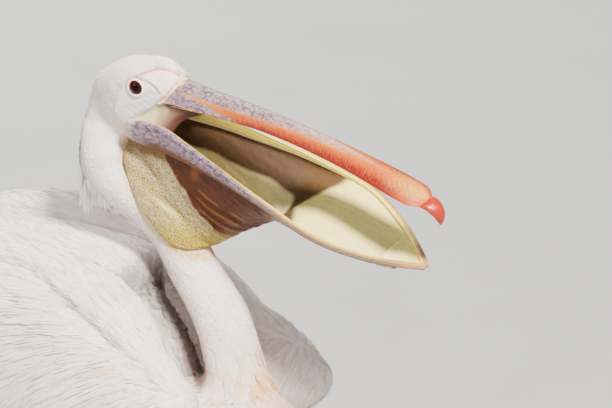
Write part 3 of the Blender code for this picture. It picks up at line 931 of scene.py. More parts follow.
def lie_in_parts(points, normals, batch=20000):
    """The same, in batches that fit in memory."""
    parts = [slice(i, i + batch) for i in range(0, len(points), batch)]
    return np.concatenate([lie(points[part], normals[part]) for part in parts])


class Roots:
    """Places on the skin where feathers grow."""

    def __init__(self, density):
        """density gives feathers per square metre at each point, 0 for none."""
        SKIN_MESH.calc_loop_triangles()
        corners, loops = (read(SKIN_MESH.loop_triangles, key, 3, np.int32) for key in ("vertices", "loops"))
        count = len(corners)
        tri = SKIN_POINTS[corners]
        area = np.linalg.norm(np.cross(tri[:, 1] - tri[:, 0], tri[:, 2] - tri[:, 0]), axis=1) / 2
        wanted = area * density(tri.mean(1))
        number = np.floor(wanted + RNG.random(count)).astype(int)
        pick = np.repeat(np.arange(count), number)
        share = RNG.dirichlet((1.6, 1.6, 1.6), len(pick))
        self.at = (tri[pick] * share[:, :, None]).sum(1)
        self.normal = unit((normals_of(SKIN_MESH)[corners[pick]] * share[:, :, None]).sum(1))
        self.uv = (SKIN_MAP[loops[pick]] * share[:, :, None]).sum(1)
        self.lie = lie_in_parts(self.at, self.normal)


def skin_uv(points):
    """Where points on the skin are in its map."""
    faces = [SKIN_TREE.find_nearest(p)[2] for p in points.tolist()]
    return np.array([SKIN_MAP[SKIN_MESH.polygons[f].loop_indices[0]] for f in faces], float)


def hug(roots, length, levels, stiff=0.5):
    """Centre lines that follow the skin: points, normals and headings at each level."""
    here = roots.at
    up = roots.normal
    heading = roots.lie
    lines = [(here, up, heading)]
    for near, far in zip(levels[:-1], levels[1:]):
        ahead = here + heading * ((far - near) * length)[:, None]
        found = [SKIN_TREE.find_nearest(p) for p in ahead.tolist()]
        here = np.array([f[0] for f in found])
        up = unit(up * 0.4 + np.array([f[1] for f in found]) * 0.6)
        fresh = lie_in_parts(here, up)
        heading = unit(heading * stiff + fresh * (1 - stiff))
        heading = unit(heading - up * (heading * up).sum(1, keepdims=True))
        lines.append((here, up, heading))
    return [np.stack(part) for part in zip(*lines)]


LEVELS = np.array((0.0, 0.4, 0.75, 1.0))
PLUME_LEVELS = np.array((0.0, 0.18, 0.38, 0.58, 0.80, 1.0))
PATCH = 0.003  # width of a tuft's patch in the map


def weave(name, look, levels, lines, uv, length, width, rise, strands, colours, ragged, splay=0.12, warm=0.0,
          nodes=()):
    """One joined mesh of tufts. Each is a row of tapering strands side by side along its centre line."""
    line, up, heading = lines
    number = len(uv)
    side = np.cross(up, heading)
    lane = np.linspace(-1, 1, strands)[None, :] + RNG.uniform(-0.3, 0.3, (number, strands)) / strands
    half = width[:, None] / strands * 0.66
    lift = RNG.uniform(-0.15, 0.25, (number, strands)) * rise[:, None]
    bend = RNG.normal(0, splay, (number, strands)) * width[:, None]
    tip_back = ragged * (0.5 * lane**2 + RNG.random((number, strands)) * 0.5)
    last = len(levels) - 1
    rows = []
    maps = []
    for k, level in enumerate(levels):
        fill = 0.75 + 0.25 * math.sin(math.pi * min(level * 1.1, 1.0)) if k < last else 0.72
        across = lane * width[:, None] * 0.5 * fill + bend * level**2
        pull = -tip_back * level**2 * length[:, None] * (0.6 if k < last else 1.0)
        arch = 0.12 + 0.88 * math.sin(min(level * 1.45, 1.75)) / math.sin(1.57)
        height = rise[:, None] * arch + lift * level
        height = height - 0.08 * np.abs(lane) ** 2 * width[:, None]
        middle = (
            line[k][:, None, :]
            + side[k][:, None, :] * across[..., None]
            + heading[k][:, None, :] * pull[..., None]
            + up[k][:, None, :] * height[..., None]
        )
        spread = half * (0.80 + 0.35 * math.sin(math.pi * level * 0.9))
        for sign in (0,) if k == last else (-1, 1):
            rows.append(middle + side[k][:, None, :] * (sign * spread)[..., None] if sign else middle)
            shift = np.stack([lane * 0.42 + sign * 0.05, np.full(lane.shape, level - 0.5)], -1)
            maps.append(uv[:, None, :] + shift * PATCH)
    verts = np.stack(rows, 2)  # tuft, strand, corner
    per = verts.shape[2]
    total = number * strands
    verts = verts.reshape(-1, 3)
    verts[:, 2] = np.maximum(verts[:, 2], 0.0006)
    base = (np.arange(total) * per)[:, None]
    quads = np.concatenate([base + (2 * k, 2 * k + 2, 2 * k + 3, 2 * k + 1) for k in range(last - 1)])
    points = base + (2 * last - 2, 2 * last, 2 * last - 1)
    mesh = build_mesh(name, verts, [quads, points])
    level_of = np.minimum(np.arange(per) // 2, last)
    # Painted shade: each strand darker at its root, where the tufts overlie it, and lighter to its tip
    root_shade = 0.92 + 0.10 * levels[level_of]
    hue = (colours[:, None, None, :] * root_shade[None, None, :, None]).repeat(strands, 1)
    heat = warm * (RNG.random((number, strands)) < 0.10)
    hue = blend(hue, PEACH_STREAK, np.broadcast_to(heat[..., None], hue.shape[:3]))
    hue = hue * (1 + RNG.normal(0, 0.015, (number, strands, 1, 1)))
    paint(mesh, np.clip(hue, 0, 1).reshape(-1, 3))
    layer = mesh.uv_layers.new(name="OFBake")
    flat = np.stack(maps, 2).reshape(-1, 2)
    order = np.concatenate([quads.ravel(), points.ravel()])
    layer.data.foreach_set("uv", flat[order].astype(np.float32).ravel())
    ups = np.stack([up[k] for k in level_of], 1)[:, None].repeat(strands, 1)
    sides = np.stack([side[k] for k in level_of], 1)[:, None].repeat(strands, 1)
    normals = unit(ups + sides * (lane * 0.30)[:, :, None, None])
    mesh.normals_split_custom_set_from_vertices(normals.reshape(-1, 3).tolist())
    return place(name, mesh, look, nodes)


def varied(number, middle, spread):
    return middle * (1 + RNG.uniform(-spread, spread, number))


def plume_colours(points, peach=0.25):
    """The markings, with feathers that differ a little in warmth from their neighbours."""
    colour = tint(points)
    warm = RNG.random(len(points)) ** 4 * peach
    return blend(colour, PEACH, warm) * (1 - 0.05 * RNG.random((len(points), 1)))


def zone_head(points):
    q = to_head(points)
    return (q[:, 0] > -0.125) & (q[:, 2] > -0.085) & (points[:, 2] > 0.455)


def zone_neck(points):
    x, y, z = points.T
    front = (z > 0.27 - 0.25 * (x - 0.17)) & (x > 0.0) & (z > 0.235) & (np.abs(y) < 0.062)
    return ~zone_head(points) & front & ((z > 0.36) | (x > 0.115 + 0.9 * (0.36 - z) * 0.62))


def zone_wing(points):
    return ~zone_head(points) & ~zone_neck(points) & (on_wing(points) > 0.5) & (points[:, 0] > -0.342)


def zone_belly(points):
    return (points[:, 2] < 0.06) & ~zone_wing(points)


def zone_trunk(points):
    stump = (on_wing(points) > 0.5) & (points[:, 0] <= -0.342)
    return ~(zone_head(points) | zone_neck(points) | zone_wing(points) | zone_belly(points) | stump)


RUFFLE_AT = (-0.0270, 0.0, 0.0455)  # raised feathers at the top of the forehead, in the head's frame
BACK_END = -0.02  # x at which the trunk's coat is split into two pieces


def coat(name, zone, density, sizes, peach, strands=4, lift=None, levels=LEVELS, stiff=0.5, **more):
    """One piece of the coat. Sizes are length, width and rise, each set by value or by place, with a spread."""
    roots = Roots(lambda p: zone(p) * density * 1.0)
    at = roots.at
    values = [size(at) if callable(size) else size for size, _ in sizes]
    length, width, rise = (varied(len(at), value, spread) for value, (_, spread) in zip(values, sizes))
    if lift:
        rise = rise + lift(at)
    colours = plume_colours(at, peach)
    lines = hug(roots, length, levels, stiff)
    weave(name, DOWN_LOOK, levels, lines, roots.uv, length, width, rise, strands, colours, **more)


def short(points):
    """Share of their length that feathers have near the bare face."""
    return 0.45 + 0.55 * step(0.0, 0.02, -bare(points))


def ruffle(points):
    return bell(np.linalg.norm(to_head(points) - RUFFLE_AT, axis=1), 0.010)


def rear(points):
    return step(0.10, -0.20, points[:, 0])


def scapular(points):
    return step(-0.012, 0.002, mantle_edge(points))


def grow_coat():
    coat(
        "coat_head", lambda p: zone_head(p) & (bare(p) < -0.0005), 5.2e5,
        (
            (lambda p: 0.0060 * (short(p) + 0.7 * ruffle(p)), 0.25),
            (0.0019, 0.2),
            (lambda p: 0.0006 * short(p), 0.3),
        ),
        0.1, strands=2, lift=lambda p: 0.0034 * ruffle(p), ragged=0.35,
    )
    coat("coat_neck", zone_neck, 1.7e5, ((0.0130, 0.25), (0.0034, 0.2), (0.0012, 0.3)), 0.12, ragged=0.45)
    for name, ahead in (("coat_back", -1), ("coat_breast", 1)):
        coat(
            name, lambda p: zone_trunk(p) & ((p[:, 0] - BACK_END) * ahead > 0), 5.0e4,
            ((lambda p: 0.030 * (1 - 0.65 * in_hollow(p)), 0.2), (0.0072, 0.2), (0.0026, 0.25)),
            0.15, ragged=0.35,
        )
    coat("coat_belly", zone_belly, 3.2e4, ((0.026, 0.2), (0.0090, 0.2), (0.0018, 0.25)), 0.1, ragged=0.3)

    for side, sign in SIDES:
        def wing(points):
            return zone_wing(points) & (points[:, 1] * sign > 0)

        coat(
            "coat_wing_" + side, wing, 5.0e4,
            (
                (lambda p: 0.028 + 0.020 * rear(p) + 0.006 * step(-0.002, 0.006, mantle_edge(p)), 0.2),
                (lambda p: 0.0062 + 0.003 * rear(p), 0.2),
                (0.0024, 0.25),
            ),
            0.15, ragged=0.4, stiff=0.7, warm=0.5,
        )
        coat(
            "plumes_wing_" + side, wing, 1.9e4,
            (
                (lambda p: 0.078 * (1 - 0.35 * scapular(p)), 0.25),
                (lambda p: 0.0046 * (1 + 0.5 * scapular(p)), 0.25),
                (lambda p: 0.0040 * (1 - 0.2 * scapular(p)), 0.25),
            ),
            0.2, levels=PLUME_LEVELS, ragged=0.35, splay=0.25, stiff=0.8, warm=0.75,
        )


grow_coat()


# ------------------------------------------------------------------- bill


def bill_bend(x):
    return -BILL_DROOP * (x / CULMEN) ** 2


def upper_bill():
    """A ridge plate along the top between two grooves, sides that slope to a sharp edge, a vaulted palate."""
    back = np.linspace(-0.0045, 0.0, 4)[:-1]
    stations = np.concatenate([back, np.linspace(0.0, 0.33, 331), np.linspace(0.331, 0.3545, 24)])
    across = np.sin(np.linspace(math.pi / 2, -math.pi / 2, 61))
    under = np.linspace(-0.9, 0.9, 17)
    rings = []
    colours = []
    masks = []
    for x in stations:
        half, height = curve(BILL_SECTIONS, np.clip(x, 0, 0.352))[0]
        end = max(0.0, x - 0.338) / 0.0165
        half *= math.sqrt(max(0.06, 1 - 0.55 * end**2)) if end > 0 else 1.0
        up = 0.07 + 0.93 * (1 - across**2)
        lateral = half * across
        plate = 0.0090 - 0.0035 * step(0.0, 0.16, x) + 0.0015 * step(0.22, 0.33, x)
        groove = np.abs(np.abs(lateral) - plate)
        relief = 0.0006 * step(plate + 0.001, plate - 0.001, np.abs(lateral))
        relief -= 0.0010 * bell(groove, 0.0013)
        relief -= 0.0007 * bell(np.abs(lateral) - half * 0.80, 0.0016) * step(0.02, 0.08, x)
        slant = ROOT_SLANT * height * max(0.0, 1 - max(x, 0.0) / 0.08)
        top = np.stack([x - slant * (1 - up), lateral, bill_bend(x) + height * up + relief], 1)
        vault = 0.18 * (1 - under**2) + 0.05
        keel = 0.0012 * bell(under * half, 0.002) - 0.0008 * bell(np.abs(under * half) - half * 0.55, 0.0015)
        low = np.stack([x - slant * (1 - vault), half * under, bill_bend(x) + height * vault - keel], 1)
        rings.append(np.concatenate([top, low]))
        hue, mask = bill_hues(np.full(len(across), x), across, half)
        # The palate: painted shade, paler along its middle
        palate = blend(MOUTH_SHADE_BROWN, BILL_PEACH, bell(1 - np.abs(under), 0.22) * 0.7)
        colours.append(np.concatenate([hue, palate]))
        masks.append(np.concatenate([mask, np.zeros(len(under))]))
    colours, masks = np.concatenate(colours), np.concatenate(masks)
    solid("bill_upper", [np.array(rings)], colours, BILL_LOOK, ["upper_bill"], masks)


def bill_fringe():
    """The soft, uneven edge of skin that laps over the root of the bill."""
    half, height = curve(BILL_SECTIONS, 0.0)[0]
    across = np.sin(np.linspace(-math.pi / 2, math.pi / 2, 90))

    def outline(x):
        up = 0.07 + 0.93 * (1 - across**2)
        return np.stack([x - ROOT_SLANT * height * (1 - up), half * across, height * up + bill_bend(x)], 1)

    path = outline(-0.0040)
    ahead = unit(outline(0.003) - path)
    out = unit(np.cross(ahead, unit(np.gradient(path, axis=0))))
    out *= np.sign(out[45, 2])
    wobble = 1.35 + 0.45 * ripple(path, 0.005, 61)
    angle = circle(20)
    reach = np.cos(angle)[None, :] * (0.0034 * wobble)[:, None]
    rings = tube(path, ahead, out, reach, np.broadcast_to(np.sin(angle) * 0.0011, reach.shape))
    front = np.tile(np.cos(angle), len(path))
    places = rings.reshape(-1, 3)
    colour = layered(
        FACE,
        (SKIN_YELLOW, 0.30 + 0.30 * step(-0.6, 0.5, front) + 0.35 * ripple(places, 0.004, 62)),
        (LAVENDER, 0.8 * step(0.55, 1.0, front + 0.3 * ripple(places, 0.003, 63))),
    )
    solid("bill_fringe", [rings], colour, SKIN_LOOK)


# Upper and lower border of the orange stripe: distance along the bill, distance from its middle
STRIPE_TOP = (
    (-0.005, 0.0128), (0.03, 0.0128), (0.08, 0.0124), (0.115, 0.0112), (0.162, 0.0094), (0.22, 0.0064),
    (0.27, 0.0020), (0.30, 0.0),
)
STRIPE_LOW = (
    (-0.005, 0.0136), (0.015, 0.0146), (0.045, 0.0166), (0.065, 0.0188), (0.09, 0.0205), (0.105, 0.030),
    (0.36, 0.030),
)


def bill_hues(x, across, half):
    """Colours of the upper bill by distance along it and across it, and where it is mottled."""
    side = np.abs(across)
    lateral = side * half
    place_at = np.stack([x * 1.6, lateral * np.sign(across), 0 * x], 1)
    frayed = ripple(place_at, 0.0035, 61)
    streak = np.sin(x * 1900 + 2.2 * np.sin(x * 310) + 1.4 * frayed)
    top = curve(STRIPE_TOP, x)[:, 0] + 0.0007 * frayed + 0.0004 * streak
    low = curve(STRIPE_LOW, x)[:, 0] + 0.0006 * frayed
    # 0 on the stripe's upper border and 1 on its lower one
    depth = (lateral - top) / np.maximum(np.minimum(low, half) - top, 1e-4)
    stripe = step(-0.0004, 0.0006, lateral - top) * step(0.0004, -0.0006, lateral - low)
    hot = layered(
        BILL_YELLOW,
        (BILL_ORANGE, step(0.02, 0.10, x) * (0.55 + 0.45 * step(0.0, 0.4, depth + 0.15 * streak))),
        (BILL_RED, step(0.30, 0.85, depth + 0.22 * streak) * step(0.05, 0.12, x) * step(0.352, 0.30, x)),
        (BILL_YELLOW, 0.45 * step(0.55, 1.0, streak) * step(0.75, 0.3, depth) * step(0.05, 0.10, x)),
        (BILL_CREAM, 0.65 * step(0.285, 0.350, x + 0.010 * frayed) * step(1.0, 0.35, depth)),
    )
    base = layered(
        CULMEN_GREY,
        (CULMEN_TAN, step(0.10, 0.24, x)),
        (BILL_PEACH, 0.55 * bell(lateral - top + 0.0015, 0.0016) * step(0.06, 0.14, x)),
        (BILL_PEACH, 0.55 * step(0.20, 0.32, x + 0.012 * frayed)),
        (BILL_CREAM, 0.6 * step(0.29, 0.35, x)),
        (LAVENDER, step(-0.0004, 0.0006, lateral - low)),
        (SKIN_YELLOW, 0.8 * bell(lateral - half * 0.975, 0.0008) * step(0.07, 0.03, x)),
        (hot, stripe),
        # the cutting edge: red, painted darker for the shade along it
        (TOMIUM_RED_AND_SHADE, 0.9 * (step(0.955, 0.99, side) * step(0.015, 0.05, x) * step(0.30, 0.22, x))),
    )
    mask = (1 - 0.85 * stripe) * (1 - 0.55 * step(0.10, 0.22, x)) * step(0.34, 0.26, x)
    return base, mask


# Nail: distance along the bill, height over its middle line, half width, half thickness, heading in degrees
NAIL_SECTIONS = (
    (0.3450, 0.0076, 0.0128, 0.0026, 0),
    (0.3575, 0.0058, 0.0128, 0.0052, 22),
    (0.3660, -0.0022, 0.0104, 0.0056, 60),
    (0.3690, -0.0112, 0.0072, 0.0042, 86),
    (0.3675, -0.0200, 0.0024, 0.0018, 100),
)


def sections(rows, count):
    """So many rows, evenly spread between the given ones."""
    last = len(rows) - 1
    return curve([(i, *row) for i, row in enumerate(rows)], np.linspace(0, last, count))


def nail():
    """The hook: a bent, tapering round piece on the end of the bill."""
    angle = circle(32)
    ridge = 1 + 0.16 * bell(np.cos(angle), 0.30) * (np.sin(angle) > 0)
    rings = []
    for x, z, half, thick, heading in sections(NAIL_SECTIONS, 41):
        lean = math.radians(heading)
        up = thick * np.sin(angle) * ridge
        high = z + bill_bend(CULMEN) + up * math.cos(lean)
        rings.append(np.stack([x + up * math.sin(lean), half * np.cos(angle), high], 1))
    along = np.repeat(np.linspace(0, 1, 41), 32)
    colour = layered(BILL_ORANGE, (NAIL_RED, step(0.0, 0.15, along)), (NAIL_TIP, step(0.75, 1.0, along)))
    solid("bill_nail_horn", [np.array(rings)], colour, NAIL_LOOK, ["bill_nail"], 0.12)


JAW_DOWN = np.array([-math.sin(GAPE), 0, -math.cos(GAPE)])


def jaw_edge(share, side):
    """Upper edge of the jaw's side bone, in the head's frame."""
    half, rise = curve(JAW_SECTIONS, share)[:, :2].T
    arch = rise + JAW_ARCH * np.sin(math.pi * np.clip(share, 0, 1))
    x = JAW_HINGE[0] + share * JAW_LENGTH * math.cos(GAPE) + arch * math.sin(GAPE)
    z = JAW_HINGE[1] - share * JAW_LENGTH * math.sin(GAPE) + arch * math.cos(GAPE)
    return np.stack([x, side * half, z], 1)


def lower_bill():
    """Both side bones and the tip in one piece: a ribbed rail with a lip on its outer top edge."""
    run_up = np.concatenate([np.linspace(-0.012, 0.9, 130), np.linspace(0.905, 0.997, 36)])
    share = np.concatenate([run_up, run_up[::-1]])
    side = np.concatenate([-np.ones(len(run_up)), np.ones(len(run_up))])
    gap = 0.004
    ahead = jaw_edge(np.minimum(share + gap, 1.0), side)
    behind = jaw_edge(np.minimum(share + gap, 1.0) - 2 * gap, side)
    outward = unit(np.cross(ahead - behind, JAW_DOWN)) * side[:, None]
    height, thick = curve(JAW_SECTIONS, share)[:, 2:].T
    middle = jaw_edge(share, side) + JAW_DOWN * height[:, None] / 2
    angle = circle(44)
    out = power(np.cos(angle), 0.75)[None, :]
    up = power(np.sin(angle), 0.75)[None, :]
    lanes = 0.00045 * np.sin(up * 12 + 0.6) * step(-0.2, -0.8, out) * step(0.15, 0.35, share)[:, None]
    lip = 0.0006 * bell(up - 0.86, 0.16) * step(-0.2, 0.6, out)
    lip = lip - 0.0006 * bell(up - 0.55, 0.14) * step(0.2, 0.8, out)
    rings = tube(middle, outward, -JAW_DOWN, out * thick[:, None] + lip - lanes, up * height[:, None] / 2)
    s = np.repeat(share, len(angle))
    o = np.tile(out[0], len(share))
    u = np.tile(up[0], len(share))
    outer = layered(
        LAVENDER,
        (JAW_PINK, step(0.34, 0.60, s) * 0.9),
        (JAW_WHITE, 0.45 * step(0.03, -0.01, s)),
        # painted shadow on the lower band of the jaw's outer face, where it runs into the pouch
        (POUCH_SHADE_BROWN, 0.95 * step(-0.16, -0.36, u) * step(0.03, 0.09, s) * step(0.66, 0.40, s)),
    )
    edge = step(0.70, 0.90, u) * bell(o + 0.42, 0.22 + 0.30 * step(0.25, 0.50, s)) * step(0.05, 0.10, s)
    colour = layered(
        JAW_CREAM,
        (JAW_WHITE, np.maximum(bell(u - 0.75, 0.16), bell(u + 0.75, 0.25)) * 0.9),
        (JAW_OLIVE, 0.6 * step(0.2, 0.9, np.sin(u * 21)) * step(0.55, 0.45, np.abs(u))),
        (outer, step(-0.50, -0.25, o)),
        (JAW_EDGE, np.minimum(1.3 * edge, 1.0) * step(0.97, 0.86, s)),
        (BILL_CREAM, 0.5 * step(0.90, 0.97, s)),
        (BILL_ORANGE, 0.65 * step(0.965, 1.0, s) * step(0.4, -0.6, u)),
    )
    mask = step(-0.35, -0.15, o) * (1 - edge) * step(-0.50, -0.35, u - 0.6 * step(0.66, 0.40, s) + 0.6)
    mask = mask * (1 - 0.8 * step(0.40, 0.62, s)) * step(-0.012, 0.03, s)
    nodes = ["jaw_left", "jaw_right", "lower_bill_tip"]
    solid("bill_lower", [rings], colour, JAW_LOOK, nodes, mask)


def bill_web():
    """The floor of the mouth between the bones' meeting ends."""
    share = np.linspace(0.875, 0.992, 24)
    across = np.linspace(-1, 1, 17)
    drop = JAW_DOWN * (curve(JAW_SECTIONS, share)[:, 2] * 0.62)[:, None]
    right, left = (jaw_edge(share, np.full(24, side)) + drop for side in (-1, 1))
    mix = (across[None, :, None] + 1) / 2
    dip = (1 - across**2)[None, :] * (0.0035 * step(0.99, 0.90, share))[:, None]
    sheet = right[:, None, :] * (1 - mix) + left[:, None, :] * mix + JAW_DOWN * dip[..., None]
    rings = np.concatenate([sheet - JAW_DOWN * 0.0007, (sheet + JAW_DOWN * 0.0007)[:, ::-1]], 1)
    solid("bill_lower_web", [rings], POUCH_CREAM, POUCH_LOOK, mask=0.05)


def jaw_place(points):
    """Share along the jaw and height over its line, of points in the head's frame."""
    x = points[:, 0] - JAW_HINGE[0]
    z = points[:, 2] - JAW_HINGE[1]
    share = (x * math.cos(GAPE) - z * math.sin(GAPE)) / JAW_LENGTH
    return share, x * math.sin(GAPE) + z * math.cos(GAPE)


# Where the folded front of the pouch meets its netted rear: x, z in the head's frame
NET_LINE = ((-0.0215, -0.0687), (0.0500, -0.1564))


def pouch():
    """The hanging sack, smoothed from its solid and given its folds and net of wrinkles."""
    mesh = applied(node_mesh("pouch", quads=True), "SUBSURF", levels=3, render_levels=3)
    places = coords(mesh)
    q = to_head(places)
    share, over = jaw_place(q)
    normal = normals_of(mesh)
    _, sideways, upwards = (normal @ HEAD_AXES).T
    outside = step(-0.15, 0.15, sideways * np.sign(q[:, 1] + 1e-6) - 0.6 * upwards)
    drop = np.clip(-over - 0.03, 0, 0.2)
    start, stop = np.array(NET_LINE)
    run = unit(stop - start)
    ahead = (q[:, 0] - start[0]) * -run[1] + (q[:, 2] - start[1]) * run[0]  # in front of the line, above 0
    front = step(-0.0025, 0.0025, ahead + 0.0015 * ripple(places, 0.01, 36))
    fold_angle = np.arctan2(drop + 0.012, share * JAW_LENGTH + 0.022)
    phase = fold_angle * 78 + 0.8 * ripple(places, 0.03, 31)
    folds = 0.0010 * np.sin(phase) * front * step(0.70, 0.45, share) * step(0.0, 0.012, drop)
    crinkle = 0.0004 * ripple(places, 0.0040, 33) + 0.0012 * ripple(places, 0.03, 34) * step(0.01, 0.04, drop)
    sag = 0.0016 * bell(ahead, 0.004) * step(0.0, 0.02, drop)
    places = places + normal * ((2 * outside - 1) * (folds + crinkle + sag))[:, None]
    arch, jaw_height = curve(JAW_SECTIONS, np.clip(share, 0, 1))[:, 1:3].T
    arch = arch + JAW_ARCH * np.sin(math.pi * np.clip(share, 0, 1))
    rim = step(-0.007, -0.002, over - arch + jaw_height) * step(0.0, 0.04, share)
    places += from_head(-JAW_DOWN[None] * (0.0045 * rim)[:, None]) - HEAD_AT
    set_coords(mesh, places)
    mesh.shade_smooth()
    hang = places[:, 2]
    outer = blend(POUCH_OCHRE, POUCH_YELLOW, step(0.410, 0.380, hang) * 0.8 + 0.2 * bell(ahead + 0.03, 0.01))
    # Painted shadow of the jaw over the pouch's folded front, lighter low down: red as if lit through the skin,
    # with painted shade in the folds' valleys and painted light on their crests
    dusk = front * (1 - 0.55 * step(0.405, 0.375, hang)) * step(0.66, 0.50, share)
    lit = step(0.6, 1.0, np.sin(phase)) * step(-0.3, 0.3, ripple(places, 0.02, 38))
    shade = layered(PAINTED_SHADOW_RED, (FOLD_VALLEY_SHADE, 0.5 * step(-0.2, 0.9, -np.sin(phase))), (FOLD_LIT, 0.40 * lit))
    corner = step(-0.052, -0.043, over - 0.16 * share + 0.002 * ripple(places, 0.01, 39))
    to_neck = neck_distance(places)
    outer = layered(
        outer,
        (shade, dusk),
        # painted shade just below the jaw at the rear, and where the pouch meets the neck
        (POUCH_SHADE_BROWN, 0.85 * corner * step(0.20, 0.14, share) * (1 - front)),
        (POUCH_SHADE_BROWN, 0.7 * step(0.006, 0.0, to_neck)),
        (POUCH_YELLOW, 0.6 * bell(to_neck - 0.008, 0.003)),
    )
    # Edge of the upper bill's painted shadow on the pouch's inner wall, and where that shadow ends at the front
    level = q[:, 2] + 0.0975 + 0.225 * q[:, 0] + 0.0016 * ripple(places, 0.02, 37)
    end = q[:, 0] - 0.137 - 0.735 * np.abs(q[:, 1])
    inner = layered(
        POUCH_CREAM,
        (POUCH_OCHRE, 0.06 + 0.06 * ripple(places, 0.03, 35)),
        # painted light on the inner rear, then the painted shadow above the edge
        (PAINTED_LIGHT_CREAM, 0.55 * step(0.15, 0.10, q[:, 0])),
        (BILL_SHADOW_RED, 0.93 * step(-0.002, 0.003, level) * step(0.006, -0.004, end)),
    )
    paint(mesh, blend(inner, outer, outside), outside * (1 - 0.85 * front) + 0.05)
    place("pouch_skin", mesh, POUCH_LOOK, ["pouch"])


# Upper border of the skin in the mouth's corner: share, x, distance from the middle, z in the head's frame
GAPE_TOP = (
    (0.0, -0.052, 0.0300, -0.016), (0.30, -0.026, 0.0262, 0.0022), (0.65, 0.004, 0.0232, 0.0030),
    (1.0, 0.041, 0.0212, 0.0008),
)


def mouth_corners():
    """The web of skin between the base of the upper bill and the jaw."""
    along = np.linspace(0, 1, 25)
    drop = np.linspace(0, 1, 21)
    a = np.repeat(along, 2 * len(drop))
    d = np.tile(np.concatenate([drop, drop[::-1]]), len(along))
    inner = np.tile(np.repeat((0, 1), len(drop)), len(along))
    belly = np.sin(math.pi * drop)[None, :]
    folds = 0.0005 * np.sin(along[:, None] * 30 + 4 * drop[None, :])
    for name, side in SIDES:
        top = curve(GAPE_TOP, along)
        top[:, 1] *= side
        low = jaw_edge(-0.005 + 0.150 * along**1.1, np.full(len(along), side))
        low += JAW_DOWN * 0.003
        low[:, 1] -= side * 0.0012
        sheet = top[:, None, :] * (1 - drop)[None, :, None] + low[:, None, :] * drop[None, :, None]
        sheet[..., 1] -= side * 0.0055 * belly * (0.2 + 0.8 * along)[:, None]
        sheet[..., 0] -= 0.011 * belly * (along**2)[:, None]
        sheet[..., 1] += side * folds * belly
        thick = np.array([0, side * 0.0006, 0])
        rings = np.concatenate([sheet + thick, (sheet - thick)[:, ::-1]], 1)
        ragged = 0.10 * ripple(rings.reshape(-1, 3), 0.008, 40)
        colour = layered(
            GAPE_CREAM,
            (GAPE_PALE, step(0.25, 0.0, a)),
            (GAPE_YELLOW, step(0.25, 0.5, a) * bell(d - 0.9, 0.3)),
            # painted shadow towards the front and top, and painted shade on the inside face
            (PAINTED_SHADOW_RED, step(0.40, 0.72, a + 0.5 * ragged + 0.30 * bell(d, 0.25) * step(0.1, 0.4, a))),
            (MOUTH_SHADE_BROWN, inner * 0.85),
            (GAPE_TAN, (1 - inner) * bell(a - 0.62, 0.16) * step(0.0, 0.5, d) * 0.6),
        )
        solid("gape_" + name, [rings], colour, SKIN_LOOK, mask=0.10)


# ------------------------------------------------------------------- eyes


# The lid's rim, out and down into the skin: distances from the eye's axis and along it, in radii
LID = ((0.745, 0.62), (0.765, 0.705), (0.81, 0.755), (0.89, 0.765), (0.98, 0.73), (1.08, 0.65), (1.15, 0.52))


def eyes():
    """A glossy ball with iris and pupil, and a swollen rim of lid round it."""
    turn = circle(48)
    polar = np.linspace(0, math.pi, 41)[1:-1]
    for name, side in SIDES:
        centre = from_head(np.array([EYE_AT[0], side * EYE_AT[1], EYE_AT[2]]))
        axis = unit(HEAD_AXES @ np.array([0.16, side, 0.22]))
        up = unit(np.array([0.0, 0.0, 1.0]) - axis * axis[2])
        across = np.cross(up, axis)

        def disc(radius, height):
            flat = np.cos(turn)[None, :, None] * across + np.sin(turn)[None, :, None] * up
            return centre + radius[:, None, None] * flat + axis * height[:, None, None]

        radius = EYE_RADIUS - 0.0003
        rings = disc(radius * np.sin(polar), radius * np.cos(polar))
        angle = np.degrees(np.repeat(polar, len(turn)))
        high = ((rings.reshape(-1, 3) - centre) @ up) / EYE_RADIUS
        colour = layered(
            PUPIL,
            (IRIS, step(24, 28, angle)),
            (IRIS_RIM, step(36, 44, angle) * (0.3 + 0.6 * step(0.0, 0.5, high))),
        )
        solid("eyeball_" + name, [rings], colour, EYE_LOOK, ["eye_" + name], local=False)

        profile = EYE_RADIUS * np.array(LID)
        rings = disc(profile[:, 0], profile[:, 1])
        mesh = build_mesh("eyelid_" + name, rings.reshape(-1, 3), loft(rings))
        mesh = applied(mesh, "SUBSURF", levels=1, render_levels=1)
        places = coords(mesh) - centre
        out = np.linalg.norm(places - np.outer(places @ axis, axis), axis=1) / EYE_RADIUS
        high = places @ up / EYE_RADIUS
        pale = step(0.765, 0.825, out - 0.04 * high)
        paint(mesh, layered(LID_RED, (LID_PALE, pale), (FACE, step(0.94, 1.08, out))))
        place("eyelid_" + name, mesh, SKIN_LOOK)


# ------------------------------------------------------------------- large feathers


VANE_THICKNESS = 0.0006


def vane(base, tip, across, width, sag, rows, lanes=7):
    """A closed, thin feather from base to tip, with a raised shaft and a rounded end."""
    base, tip, across = (np.asarray(v, float) for v in (base, tip, across))
    t = np.linspace(0, 1, rows)
    u = np.linspace(-1, 1, lanes)
    run = tip - base
    up = unit(np.cross(run, across))
    rounded = np.sqrt(np.clip(1 - ((t - 0.72) / 0.285).clip(0) ** 2.2, 0, 1))
    half = np.maximum(width / 2 * np.minimum(1.0, 0.35 + 3.0 * t) * rounded, width * 0.02)
    centre = base + run * t[:, None] - up * (sag * 4 * t * (1 - t))[:, None]
    flat = centre[:, None, :] + across * (u[None, :] * half[:, None])[..., None]
    camber = -0.10 * width * (u**2)[None, :] * (half / (width / 2))[:, None]
    shaft = 0.0010 * bell(u, 0.18)[None, :] * (1 - 0.7 * t)[:, None]
    top = flat + up * (camber + shaft + VANE_THICKNESS / 2)[..., None]
    low = flat + up * (camber - VANE_THICKNESS / 2)[..., None]
    rings = np.concatenate([top, low[:, ::-1]], 1)
    return rings, np.repeat(t, 2 * lanes), np.tile(np.concatenate([u, u[::-1]]), rows)


